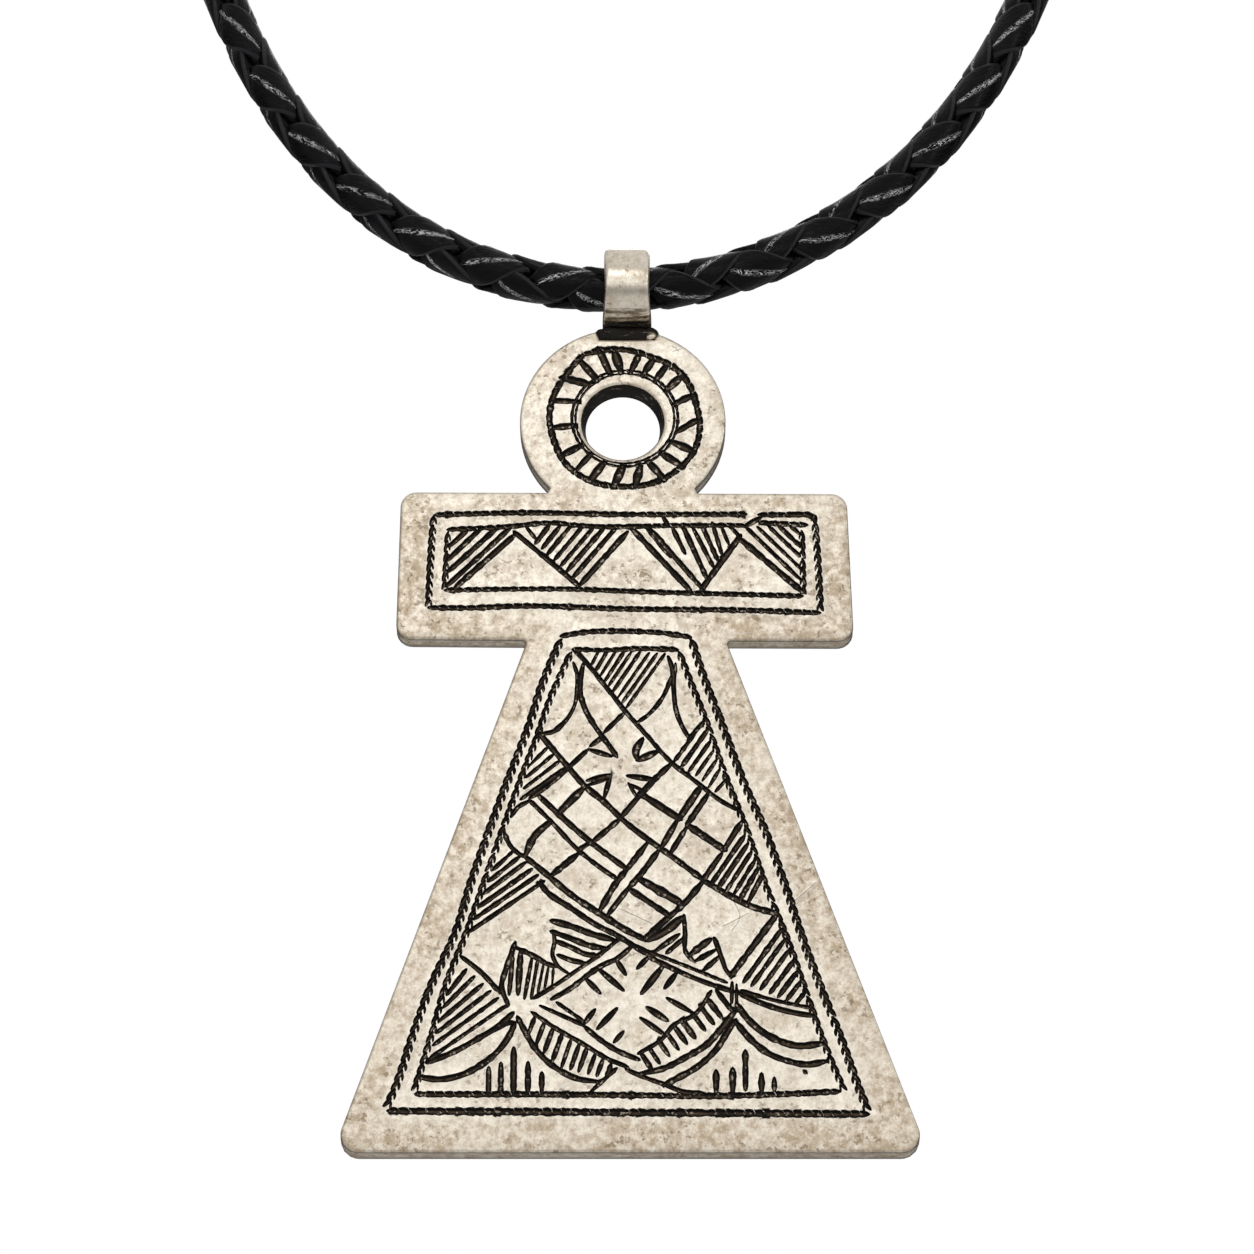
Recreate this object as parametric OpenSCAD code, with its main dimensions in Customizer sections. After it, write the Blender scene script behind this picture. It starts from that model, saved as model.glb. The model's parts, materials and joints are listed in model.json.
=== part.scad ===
// Tuareg pendant of sheet silver on a loop of braided leather cord.
// The origin is the middle of the neck opening. +Z is up and the front of the pendant faces -Y.
// The pendant hangs plumb from the lowest point of the cord, which runs through its bail.

/* [Plate] */
// Thickness of the silver sheet
plate_t = 2.4; // [1.6:0.1:3]
// How far the zero level of the plate's heights lies below the cord's centre
plate_zero = 0.6; // [0.5:0.1:0.8]
// Corners of the cross bar from the top left, clockwise: x, height
bar_corners = [[-21.2, -21.0], [20.6, -21.2], [21.1, -36.2], [-21.5, -36.0]];
// Radius of the cross bar's corners
bar_corner_r = 1.5; // [0.3:0.1:2]
// Corners of the flared lower plate from the top left, clockwise: x, height
flare_corners = [[-8.9, -35.0], [8.8, -35.0], [27.1, -86.1], [-26.5, -86.1]];
// Radius of the flared plate's corners
flare_corner_r = 1.7; // [0.5:0.1:3]

/* [Disc] */
// Radius of the disc at the top
disc_r = 9.7; // [9:0.1:10.5]
// Centre of the disc: x, height
disc_centre = [-0.4, -13.7];
// Radius of the round hole at the front of the plate
hole_r = 3.9; // [3:0.1:4.3]
// Radius of the round hole at the back of the plate
hole_back_r = 3.5; // [3:0.1:4.3]
// Centre of the hole: x, height
hole_centre = [-0.4, -13.8];

/* [Bail] */
// Outer radius of the bail's tube
bail_r = 4.15; // [3.9:0.05:4.3]
// Radius of the bail's bore
bail_bore_r = 2.7; // [2.6:0.05:2.8]
// Length of the bail along the cord
bail_w = 4.3; // [3:0.1:6]
// How far the bail's centre hangs below the cord's
bail_drop = 0.3; // [0.2:0.05:0.35]
// Width of the notch in the disc that the bail is soldered into
notch_w = 5.2; // [5:0.1:6]
// Height of the notch's floor
notch_floor = -5.2; // [-5.4:0.1:-5]
// Thickness of the solder in the notch
solder_t = 1.3; // [1:0.1:1.8]

/* [Cord] */
// Length of cord in which a strand goes once round, at the bail
braid_pitch = 14.5; // [13.5:0.5:16]
// How far a strand's middle lies from the cord's centre where it is on top
strand_out = 1.75; // [1.75:0.05:1.85]
// How far a strand's middle lies from the cord's centre where it is below
strand_in = 0.6; // [0.55:0.05:0.65]
// Width of a strand
strand_w = 1.6; // [1.3:0.1:1.6]
// Thickness of a strand
strand_t = 0.7; // [0.5:0.05:0.7]

/* [Clasp] */
// Length of the barrel
clasp_l = 18; // [16:1:22]
// Outer radius of the barrel
clasp_r = 3.6; // [3.4:0.1:4.5]
// Radius of the bores that take the ends of the cord
clasp_bore_r = 2.6; // [2.55:0.05:2.8]
// Depth of each bore
clasp_bore_depth = 5.5; // [5.5:0.5:6.5]

/* [Hidden] */

silver = [0.80, 0.77, 0.71];
black_leather = [0.10, 0.10, 0.11];

// Steps that a rounded corner is drawn with
corner_steps = 6;
// A cut runs this far past the face that it opens
cut = 1;
// The solder reaches this far into the silver on each side
solder_bite = 0.2;
// Height of the solder's top, inside the wall of the bail
solder_top = -3.4;

// The cord's centre line is a closed curve of angle a: 0 is the front, 90 the wearer's left side
// and 180 the nape. Each row holds the first, second and third harmonic in millimetres.
route_x = [61.2, -6.7, 8.1];
route_y = [-47.5, 8.0, -4.0];
route_z = [-65.3, -23.5, -1.7];
// The loop hangs unevenly: these harmonics raise one side where they lower the other
route_lean = [-2.1, 0.6, 1.1];
// The middle of the neck opening lies this far behind the curve's own middle
route_back = 8;

function route(a) = [
    route_x * [sin(a), sin(2 * a), sin(3 * a)],
    route_y * [cos(a), cos(2 * a), cos(3 * a)] - route_back,
    route_z * [cos(a), cos(2 * a), cos(3 * a)] + route_lean * [sin(a), sin(2 * a), sin(3 * a)]
];

function route_slope(a) = [
    route_x * [cos(a), 2 * cos(2 * a), 3 * cos(3 * a)],
    -route_y * [sin(a), 2 * sin(2 * a), 3 * sin(3 * a)],
    -route_z * [sin(a), 2 * sin(2 * a), 3 * sin(3 * a)]
        + route_lean * [cos(a), 2 * cos(2 * a), 3 * cos(3 * a)]
];

// The braid is drawn out where the cord runs away from the viewer, and wound less by this share of
// its winding at the bail
drawn_out = 0.1;
function winding(a) = 1 - drawn_out * (1 - cos(4 * a));

// Each row holds the length of the centre line from the nape round the wearer's right side,
// the angle, and the length weighted by the winding
route_step = 0.5;
route_table = [
    for (
        a = -180, length = 0, wound = 0;
        a <= 180;
        wound = wound + norm(route(a + route_step) - route(a)) * winding(a),
        length = length + norm(route(a + route_step) - route(a)),
        a = a + route_step
    )
    [length, a, wound]
];
angle_table = [for (row = route_table) [row[0], row[1]]];
wound_table = [for (row = route_table) [row[0], row[2]]];
cord_length = route_table[len(route_table) - 1][0];

// The pendant hangs from the front of the cord, halfway along the table
hang_point = route(0);
wound_at_bail = route_table[180 / route_step][2];

// The braid's cross-section turns with the cord, so each side shows the other pair of strands
braid_swing = 85;
braid_swing_start = 40;
// Length from the middle of the bail to the nearest crossing of the strands
crossing_offset = -2;
// The strands stop this far short of the nape, inside the clasp
strand_end_gap = 4;
// Number of straight steps along a strand
strand_rings = 320;
// A strand's cross-section is a flat hexagon: each row is a corner, across and through the strand.
// Its flat faces are this share of its width.
strand_flat = 0.55;
strand_profile = [
    [strand_w / 2, 0],
    [strand_w / 2 * strand_flat, strand_t / 2],
    [-strand_w / 2 * strand_flat, strand_t / 2],
    [-strand_w / 2, 0],
    [-strand_w / 2 * strand_flat, -strand_t / 2],
    [strand_w / 2 * strand_flat, -strand_t / 2]
];

// The clasp lies level at the nape, on the mean of the cord's centre line within its bores
nape = route(180);
clasp_centre = [0, nape.y - 0.25, nape.z];

function unit(v) = v / norm(v);

// Two axes square to the cord: the first points away from the neck
function outward(a) =
    let (
        along = unit(route_slope(a)),
        away = [route(a).x, route(a).y, 0]
    )
    unit(away - (away * along) * along);

function sideways(a) = cross(unit(route_slope(a)), outward(a));

// One ring of a strand: way is 1 for the pair wound one way and -1 for the other,
// and start is the strand's own angle round the cord
function strand_ring(way, start, length) =
    let (
        a = lookup(length, angle_table),
        turn = braid_swing * cos(2 * a + braid_swing_start),
        out = outward(a) * cos(turn) + sideways(a) * sin(turn),
        side = sideways(a) * cos(turn) - outward(a) * sin(turn),
        wound = lookup(length, wound_table) - wound_at_bail,
        t = start + 360 * (wound - crossing_offset) / braid_pitch,
        reach_out = way > 0 ? strand_out : strand_in,
        reach_side = way > 0 ? strand_in : strand_out,
        middle = route(a) + out * reach_out * cos(t) + side * way * reach_side * sin(t),
        through = out * cos(t) + side * way * sin(t),
        across = side * cos(t) - out * way * sin(t)
    )
    [for (p = strand_profile) middle + p[0] * across + p[1] * through];

// Corner n of a closed outline, drawn as an arc of radius r that touches both of its sides
function round_corner(corners, n, r) =
    let (
        count = len(corners),
        p = corners[n],
        to_last = unit(corners[(n + count - 1) % count] - p),
        to_next = unit(corners[(n + 1) % count] - p),
        half = acos(to_last * to_next) / 2,
        centre = p + unit(to_last + to_next) * r / sin(half),
        first = p + to_last * r / tan(half) - centre,
        sweep = 180 - 2 * half
    )
    [
        for (i = [0:corner_steps])
        let (b = -sweep * i / corner_steps)
        centre + [first.x * cos(b) - first.y * sin(b), first.x * sin(b) + first.y * cos(b)]
    ];

function rounded(corners, r) = [
    for (n = [0:len(corners) - 1])
    each round_corner(corners, n, r)
];

module plate_outline() {
    difference() {
        union() {
            translate(disc_centre)
            circle(r = disc_r, $fn = 96);
            polygon(rounded(bar_corners, bar_corner_r));
            polygon(rounded(flare_corners, flare_corner_r));
        }
        translate([-notch_w / 2, notch_floor])
        square([notch_w, disc_r]);
    }
}

// The hole narrows evenly from the front to the back, and is cut past both faces at the same slope
module hole() {
    narrowing = (hole_r - hole_back_r) / plate_t * cut;
    translate(hole_centre)
    cylinder(
        r1 = hole_back_r - narrowing,
        r2 = hole_r + narrowing,
        h = plate_t + 2 * cut,
        center = true,
        $fn = 64
    );
}

module plate() {
    rotate([90, 0, 0])
    difference() {
        linear_extrude(plate_t, center = true)
        plate_outline();
        hole();
    }
}

module solder() {
    width = notch_w + 2 * solder_bite;
    bottom = notch_floor - solder_bite;
    translate([-width / 2, -solder_t / 2, bottom])
    cube([width, solder_t, solder_top - bottom]);
}

module along_cord() {
    rotate([0, 90, 0])
    children();
}

module pendant() {
    color(silver)
    translate(hang_point)
    difference() {
        union() {
            translate([0, 0, -plate_zero]) {
                plate();
                solder();
            }
            translate([0, 0, -bail_drop])
            along_cord()
            cylinder(r = bail_r, h = bail_w, center = true, $fn = 96);
        }
        translate([0, 0, -bail_drop])
        along_cord()
        cylinder(r = bail_bore_r, h = bail_w + 2 * cut, center = true, $fn = 96);
    }
}

module strand(way, start) {
    sides = len(strand_profile);
    run = cord_length - 2 * strand_end_gap;
    points = [
        for (i = [0:strand_rings])
        each strand_ring(way, start, strand_end_gap + run * i / strand_rings)
    ];
    walls = [
        for (i = [0:strand_rings - 1], j = [0:sides - 1])
        let (
            here = i * sides,
            next = (i + 1) * sides,
            k = (j + 1) % sides
        )
        each way > 0
            ? [[here + j, here + k, next + k], [here + j, next + k, next + j]]
            : [[here + j, here + k, next + j], [here + k, next + k, next + j]]
    ];
    first_end = [for (j = [0:sides - 1]) sides - 1 - j];
    last_end = [for (j = [0:sides - 1]) strand_rings * sides + j];
    color(black_leather)
    polyhedron(points, concat(walls, [first_end, last_end]), convexity = 10);
}

module strand_1() {
    strand(1, 0);
}

module strand_2() {
    strand(1, 180);
}

module strand_3() {
    strand(-1, 0);
}

module strand_4() {
    strand(-1, 180);
}

module clasp() {
    color(silver)
    translate(clasp_centre)
    along_cord()
    difference() {
        cylinder(r = clasp_r, h = clasp_l, center = true, $fn = 64);
        for (end = [0, 1])
        mirror([0, 0, end])
        translate([0, 0, clasp_l / 2 - clasp_bore_depth])
        cylinder(r = clasp_bore_r, h = clasp_bore_depth + cut, $fn = 64);
    }
}

pendant();
strand_1();
strand_2();
strand_3();
strand_4();
clasp();
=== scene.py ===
"""Looks of a Tuareg pendant on its braided leather cord, made around the solids of its frame."""

import json
import math

import bmesh
import bpy
import numpy as np
from bpy.props import FloatProperty, FloatVectorProperty, IntProperty, PointerProperty
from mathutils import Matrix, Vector
from mathutils.geometry import delaunay_2d_cdt


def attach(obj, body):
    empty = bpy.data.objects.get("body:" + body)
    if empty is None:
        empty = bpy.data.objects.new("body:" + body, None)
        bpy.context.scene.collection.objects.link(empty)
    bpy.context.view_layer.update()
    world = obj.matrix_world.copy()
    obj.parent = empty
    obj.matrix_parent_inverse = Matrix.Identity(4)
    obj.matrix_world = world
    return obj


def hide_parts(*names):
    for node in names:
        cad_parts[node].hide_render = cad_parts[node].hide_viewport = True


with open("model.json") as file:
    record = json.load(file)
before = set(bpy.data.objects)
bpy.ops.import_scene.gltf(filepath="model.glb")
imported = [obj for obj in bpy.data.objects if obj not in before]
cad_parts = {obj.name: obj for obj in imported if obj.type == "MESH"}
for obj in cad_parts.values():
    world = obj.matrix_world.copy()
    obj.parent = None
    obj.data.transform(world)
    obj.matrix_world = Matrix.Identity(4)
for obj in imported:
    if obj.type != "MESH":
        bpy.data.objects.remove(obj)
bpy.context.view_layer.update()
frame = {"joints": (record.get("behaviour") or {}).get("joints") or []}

bl_info = {
    "name": "Tuareg pendant",
    "version": (1, 0, 0),
    "blender": (4, 5, 0),
    "location": "View3D > Sidebar > Pendant",
    "description": "Engraved silver pendant on a braided leather cord",
    "category": "Object",
}

# Shapes are worked out in millimetres. Points of the plate are x and height above its own zero level.
MM = 0.001
HANG_POINT = np.array(frame["joints"][0]["pos_m"]) / MM
PLATE_ZERO = HANG_POINT - (0.0, 0.0, 0.6)

# Outline of the plate
DISC_CENTRE = (-0.4, -13.7)
DISC_RADIUS = 9.7
HOLE_CENTRE = (-0.4, -13.8)
HOLE_RADIUS = 3.9
HOLE_BACK_RADIUS = 3.5
BAR_CORNERS = ((-21.2, -21.0), (20.6, -21.2), (21.1, -36.2), (-21.5, -36.0))
BAR_CORNER_RADIUS = 1.5
FLARE_CORNERS = ((-8.9, -35.0), (8.8, -35.0), (27.1, -86.1), (-26.5, -86.1))
FLARE_CORNER_RADIUS = 1.7
NOTCH_HALF = 2.6
NOTCH_FLOOR = -5.2
# Both ends of the disc's arc on the left and on the right, in degrees from its top
LEFT_ARC = (-133, -15)
RIGHT_ARC = (20, 133)
# Where the disc and the flare meet the bar, left and right, and how round these corners are
DISC_MEETS = ((-6.73, -21.07), (5.93, -21.13))
DISC_MEET_RADIUS = 0.35
NECK_HEIGHTS = (-36.1, -36.15)
NECK_RADIUS = 0.3
OUTLINE_STEP = 0.7
# The browner rim of the bar and the flare: how far in from the outline it is full, and where it ends
RIM_FULL = 2.4
RIM_END = 4.0

# Cuts of the engraving. Each row is a cut's width and the points that it passes through.
RING_POINTS = (
    (-4.2, -6.8), (-2.5, -6.35), (-0.5, -6.25), (2.2, -7), (4.7, -8.35), (6, -10.2),
    (6.6, -12.3), (6.85, -13.7), (6.35, -16.7), (4.7, -18.8), (2.2, -20.2), (-0.35, -20.5),
    (-3.2, -20), (-5.7, -18.2), (-7, -15.3), (-7.3, -13.8), (-6.9, -11), (-5.5, -8.5),
    (-4.2, -6.8),
)
DISC_TICKS = (
    (0.62, (-2.67, -6.2), (-1.65, -8.7)),
    (0.72, (-1.2, -6.4), (-0.6, -8.5)),
    (0.62, (1.2, -6.7), (0.4, -8.5)),
    (0.60, (2.5, -7.3), (1.5, -8.9)),
    (0.62, (3.7, -8), (2.7, -9.5)),
    (0.65, (5.2, -9), (3.75, -10.5)),
    (0.55, (6.25, -11), (4.5, -11.95)),
    (0.52, (6.6, -13.6), (4.75, -14.8)),
    (0.62, (6.2, -16.8), (4.3, -15.9)),
    (0.62, (5.2, -18.4), (3.3, -17.1)),
    (0.62, (3.5, -19.75), (2.05, -18)),
    (0.65, (0.8, -20.3), (1.25, -18.4)),
    (0.72, (-1.2, -20.4), (-0.4, -18.4)),
    (0.62, (-3.4, -19.75), (-2.15, -18)),
    (0.52, (-4.7, -18.7), (-3.35, -17.1)),
    (0.58, (-6.2, -17.3), (-4.2, -16.2)),
    (0.58, (-6.9, -14.4), (-4.9, -14.2)),
    (0.50, (-7, -11.6), (-4.6, -11.7)),
    (0.64, (-6.2, -9.2), (-3.5, -9.9)),
    (0.62, (-4.3, -7.6), (-2.85, -9.4)),
    (0.30, (-6.6, -10.8), (-6.1, -9.4)),
)
BAR_ZIGZAG = (
    (0.50, (-10.65, -25.6), (-16, -30.8)),
    (0.42, (-10.5, -25.2), (-4.55, -30.6)),
    (0.45, (-4.4, -30.6), (0, -25.2)),
    (0.50, (0.5, -24.85), (5.9, -31.1)),
    (0.42, (2.3, -25), (7, -30.9)),
    (0.48, (7, -30.9), (10.6, -25.6)),
    (0.50, (10.6, -25.9), (16.3, -31.2)),
    (0.42, (11.2, -24.5), (12.4, -23.75)),
    (0.36, (3.4, -23.7), (3.9, -24.5)),
)
BAR_HATCH = (
    (0.42, (-15, -25), (-16.5, -26.5)),
    (0.44, (-13.7, -24.8), (-16.75, -28)),
    (0.44, (-12.2, -24.75), (-16.7, -29.2)),
    (0.42, (-11, -24.8), (-16.75, -30.6)),
    (0.30, (-9.4, -24.7), (-8.6, -25.8)),
    (0.36, (1.9, -24.85), (4, -27.65)),
    (0.36, (4.3, -24.85), (5.4, -27.3)),
    (0.42, (5.25, -24.6), (7.4, -29.8)),
    (0.36, (6.2, -24.8), (8, -28.6)),
    (0.36, (7.1, -24.7), (8.45, -28)),
    (0.34, (8, -24.3), (8.85, -27.4)),
    (0.32, (8.9, -24.8), (9.5, -26.4)),
    (0.34, (9.5, -24.4), (10.5, -25.6)),
)
HEAD_CUTS = (
    (0.30, (-4.95, -38.5), (-4.65, -39.5), (-4.65, -41), (-4.8, -42.5), (-5.2, -43.5), (-6, -44.6)),
    (0.44, (-5.5, -44), (-6, -44.6), (-6.8, -45.3), (-7.7, -45.5)),
    (0.42, (-4.1, -38.7), (-4.3, -40), (-4.3, -41.5), (-3.9, -43), (-3.2, -44.4), (-2.3, -45.8),
     (-1.6, -46.8), (-0.95, -47.8)),
    (0.36, (4.1, -39.9), (3.4, -41.7), (2.7, -42.8), (1.9, -43.7), (1.1, -44.3)),
    (0.38, (3.85, -37.9), (4.2, -39), (4.35, -41.5), (4.5, -43), (4.85, -44.2), (5.3, -45.2),
     (5.7, -45.9)),
    (0.28, (4.5, -38.6), (4.5, -39.5)),
    (0.36, (5.7, -46), (7.1, -44.3)),
)
LATTICE_CUTS = (
    (0.35, (-4.55, -37.35), (-3.15, -39.15), (-1.85, -40.95), (0.15, -43.65), (2.1, -46), (4.1, -48.4),
     (6.6, -50.5), (8.8, -52.3), (10.2, -53.1)),
    (0.31, (-4.95, -37.1), (-3.5, -38.85), (-2.15, -40.65), (-0.15, -43.35), (1.85, -45.75), (3.85, -48.15),
     (6.35, -50.25)),
    (0.46, (-8, -45.6), (-5.3, -49), (-3.9, -50.7), (-2.2, -52.2), (0, -54.4), (1.7, -55.8), (3.8, -57.4),
     (6.8, -59.8)),
    (0.37, (-0.4, -43.6), (-2, -45.3)),
    (0.37, (-2.3, -45.9), (-3.3, -46.7)),
    (0.40, (-3.7, -47.2), (-5.5, -49), (-6.6, -50.1), (-8.9, -51.9)),
    (0.50, (4, -48.6), (2.6, -50), (1.2, -51.6)),
    (0.55, (-3.9, -50.8), (-6.2, -53.3)),
    (0.46, (-8.1, -51.7), (-6.2, -53.6), (-3.5, -56.1), (-0.2, -58.75)),
    (0.37, (-8.9, -52.2), (-7, -54.2), (-4.6, -56.9), (-2.25, -58.9), (-1, -59.8)),
    (0.57, (-7.1, -54.3), (-8.5, -55.7), (-9.3, -57.5)),
    (0.37, (-10.6, -53.7), (-10, -52.8), (-9.1, -52.3)),
    (0.37, (-11.2, -55.5), (-10.7, -56.6), (-9.9, -57.4), (-9.3, -57.7)),
    (0.50, (-9.3, -57.7), (-7.25, -59.5), (-5.1, -61.4), (-2.4, -63.3), (0, -64.9), (1.7, -65.8)),
    (0.44, (-7.9, -60.3), (-7.5, -60.9), (-5.1, -62.7), (-2.7, -64.4), (-1, -65.3), (0.5, -66.3),
     (2.2, -67.3)),
    (0.50, (-6.8, -59.4), (-4.6, -57.5)),
    (0.46, (-3, -56.1), (-0.8, -54.1)),
    (0.40, (-4.4, -57), (-3.4, -56.3)),
    (0.50, (0, -58.9), (-0.9, -60.1), (-2.4, -62.8)),
    (0.44, (0.1, -60.8), (-1.7, -63.3)),
    (0.40, (1.2, -51.6), (-0.8, -54.1)),
    (0.55, (1.3, -51.5), (4.9, -54)),
    (0.59, (5.6, -54.6), (8.9, -57)),
    (0.55, (6.7, -50.9), (4.8, -53.9)),
    (0.46, (7.4, -51.6), (5.6, -54.4)),
    (0.48, (4.5, -54.3), (3.2, -56.7)),
    (0.44, (5.4, -54.9), (4, -57.3)),
    (0.48, (1.8, -56.4), (0, -58.9)),
    (0.46, (2.8, -57.2), (1.1, -59.6), (0.1, -60.8)),
    (0.66, (1.2, -59.9), (4.9, -62.2)),
    (0.50, (0.3, -60.9), (3.8, -63.4)),
    (0.50, (6.8, -60.3), (5.1, -62.4), (3.7, -63.7), (1.6, -65.7)),
    (0.44, (8.6, -57.5), (7, -59.9)),
    (0.44, (10.5, -54.3), (8.9, -57)),
    (0.50, (7, -60), (9.4, -61.5), (11.5, -62.6), (13.6, -63.2)),
)
UPPER_STAR = (
    (0.44, (-3.5, -47.1), (-1.4, -47.8)),
    (0.40, (-2.2, -45.9), (-0.95, -47.75)),
    (0.60, (1.45, -46), (0.8, -47.4), (0.95, -48.1)),
    (0.60, (0.95, -48.2), (1.5, -47.95), (2.8, -47.3)),
    (0.46, (-3.7, -50.2), (-1.5, -49.6)),
    (0.42, (-1.5, -49.6), (-2.1, -51.9)),
    (0.32, (-3.8, -50.7), (-1.7, -50)),
    (0.48, (0, -49.7), (2.6, -50.1)),
    (0.30, (0.1, -50.4), (1, -52)),
    (0.30, (0.1, -50.5), (1.6, -51.2)),
    (0.34, (2.6, -50.1), (1.6, -51.3)),
)
SIDE_HATCH = (
    (0.30, (-7.35, -46.9), (-8.9, -48.6)),
    (0.30, (-6.8, -47.6), (-9.2, -49.8)),
    (0.30, (-6.3, -48.3), (-9.4, -50.9)),
    (0.34, (-5.8, -49), (-9.7, -52)),
    (0.36, (6.2, -45.6), (4.4, -48.2)),
    (0.40, (7.4, -45.2), (5.1, -48.7)),
    (0.32, (7.6, -46.4), (5.75, -49.2)),
    (0.30, (7.9, -47.3), (6.4, -49.6)),
    (0.30, (8.2, -48.2), (7, -50.1)),
    (0.30, (8.5, -49.1), (7.6, -50.7)),
    (0.30, (9.2, -50), (8.2, -51.2)),
)
CRESCENTS = (
    (0.50, (-6.8, -63.95), (-5, -64.5), (-3.25, -65.2), (-1.4, -65.75)),
    (0.48, (-6.8, -65), (-5, -65.7), (-3.25, -66.4), (-2, -66.6)),
    (0.42, (-6.5, -65.9), (-5.1, -66.5), (-3.7, -67.2), (-2.8, -67.3)),
    (0.40, (-6.2, -67.3), (-5, -67.8), (-4, -68)),
    (0.30, (-6.7, -65), (-6.6, -66), (-6.8, -67.2), (-6.2, -68.4), (-5.4, -69)),
    (0.62, (4.9, -63.7), (3.7, -64.8), (2, -65.8)),
    (0.35, (5.2, -63.5), (5.3, -65.3), (5.35, -67), (6, -67.8)),
    (0.42, (4.7, -65.3), (2.7, -66.8)),
    (0.40, (5, -65.8), (3.7, -67)),
    (0.55, (7.5, -65.8), (5.8, -67.2)),
    (0.38, (8, -65.7), (8.7, -67.8), (9, -68.7), (9.5, -69.3)),
    (0.40, (8, -66.8), (6.3, -67.8)),
    (0.40, (8.3, -67.5), (7, -68.7)),
)
LEFT_COLUMN = (
    (0.42, (-10.2, -66.1), (-10.4, -66.7), (-11, -68.6), (-11.4, -70.3), (-10.8, -72)),
    (0.40, (-10, -66.6), (-8.25, -67.5), (-7.3, -68.1), (-6.4, -68.4)),
    (0.44, (-9.7, -67.2), (-9.9, -71)),
    (0.34, (-10.4, -67.4), (-10.7, -71)),
    (0.32, (-8.7, -67.8), (-9.3, -71.4)),
    (0.26, (-8.15, -67.9), (-8.7, -71.4)),
    (0.24, (-7.6, -68.2), (-8.1, -70.9)),
    (0.22, (-7.15, -68.4), (-7.5, -70.6)),
    (0.22, (-6.7, -68.6), (-6.8, -70.1)),
)
DIAMOND = (
    (0.42, (0.35, -66.5), (-0.75, -67.5), (-2.3, -68.3), (-3.7, -69.3), (-5, -70.4), (-6.8, -71.5)),
    (0.34, (-0.6, -65.6), (-2.6, -67.3), (-4.5, -68.7), (-6.7, -70.3), (-8.4, -71.4)),
    (0.40, (2.1, -67.5), (4.2, -68.6), (7.1, -69.9), (9.7, -70.8)),
    (0.30, (1.1, -66.6), (4.8, -68.1), (9, -69.9)),
    (0.35, (-8.6, -72.8), (-6.5, -74.3), (-4, -75.8), (-1.8, -77.2), (0, -78)),
    (0.32, (-7.8, -72.2), (-4, -74)),
    (0.32, (-6.3, -71.9), (-4, -73.6)),
    (0.42, (-3.8, -74.2), (-2.7, -75.2), (-1, -76.4), (1, -77.3)),
)
LOWER_STAR = (
    (0.44, (-1, -67.7), (-0.1, -69.2)),
    (0.48, (-2.6, -68.6), (-0.3, -70.7)),
    (0.44, (-3.8, -69.5), (-2.4, -71)),
    (0.44, (2, -67.4), (0.9, -68.6)),
    (0.55, (3.3, -68.3), (1.3, -71)),
    (0.48, (4.5, -69), (3.4, -70.5)),
    (0.44, (3.6, -71.4), (5.9, -72.8)),
    (0.55, (1.8, -72.3), (3.7, -73.6)),
    (0.44, (1.2, -73.3), (3.5, -75)),
    (0.44, (-2.9, -72.5), (-3.9, -73.9)),
    (0.48, (-0.9, -72.4), (-2.7, -74.4)),
    (0.40, (-0.3, -74.6), (-1.2, -75.7)),
)
LEFT_FAN = (
    (0.40, (-15.1, -67.4), (-13.3, -68.9), (-11.7, -70.7)),
    (0.45, (-18, -77.6), (-15.7, -76.6), (-13.3, -75.2), (-11.5, -74), (-10.4, -72.9)),
    (0.36, (-12.6, -74.8), (-10.5, -73.7)),
    (0.50, (-18.6, -79), (-17, -79.2), (-15, -78.8), (-13, -77.7), (-11.5, -76.3), (-10.6, -74.9),
     (-10.2, -73.9)),
    (0.45, (-12.5, -78.2), (-12.5, -80.5)),
    (0.45, (-11.4, -77.8), (-11.4, -80.5)),
    (0.45, (-10.25, -76.3), (-10.25, -80.5)),
    (0.45, (-8.95, -77.7), (-8.95, -80.4)),
    (0.45, (-7.7, -78.7), (-7.7, -80.3)),
    (0.45, (-9.9, -73.3), (-9.2, -74.7), (-8.6, -75.8), (-7.5, -77.2), (-6, -78.4), (-4.6, -79.1),
     (-2.8, -79.4)),
    (0.32, (-1, -78.2), (-3.2, -80.3)),
)
RIGHT_FAN = (
    (0.35, (1.1, -76.7), (3.1, -75.4), (4.35, -73.9), (6, -73.1), (7.6, -70.8)),
    (0.50, (1.45, -78.6), (3.2, -78.2), (5.3, -77.1), (7.3, -75.8), (8.5, -74.4), (9.7, -72.8)),
    (0.50, (3.4, -79.7), (4.35, -79.2), (6.5, -77.9), (8.1, -76.3), (9.2, -74.5), (9.8, -73.6)),
    (0.35, (0, -78.3), (1.8, -79.1), (3.4, -79.7), (5, -80.35), (6.8, -80.5)),
    (0.30, (9.55, -70), (9.5, -71.8)),
    (0.26, (9.95, -70.2), (9.95, -71.7)),
    (0.50, (13.6, -63.4), (9.5, -69.2)),
    (0.45, (10.3, -71), (11.6, -71.65), (13.7, -72.45), (15.5, -72.9), (16.8, -73.1)),
    (0.30, (10.5, -70.7), (12.9, -71.5), (15, -72), (16.8, -72.4)),
    (0.55, (10, -72.1), (11.1, -73.6), (12.3, -74.7), (13.7, -75.5), (15.3, -76), (17.6, -75.8)),
    (0.50, (9.85, -73.7), (11.3, -75.5), (12.9, -76.8), (14.5, -77.45), (16.3, -77.8), (17.9, -77.5)),
    (0.50, (8.05, -78.5), (8.05, -80.2)),
    (0.50, (9.55, -78.3), (9.55, -80.3)),
    (0.46, (10.7, -76.6), (10.7, -80.1)),
    (0.50, (12.15, -78.8), (12.15, -80.3)),
    (0.46, (13.3, -79.2), (13.3, -80.2)),
    (0.36, (16.05, -78.45), (16.15, -78.55)),
)

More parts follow.
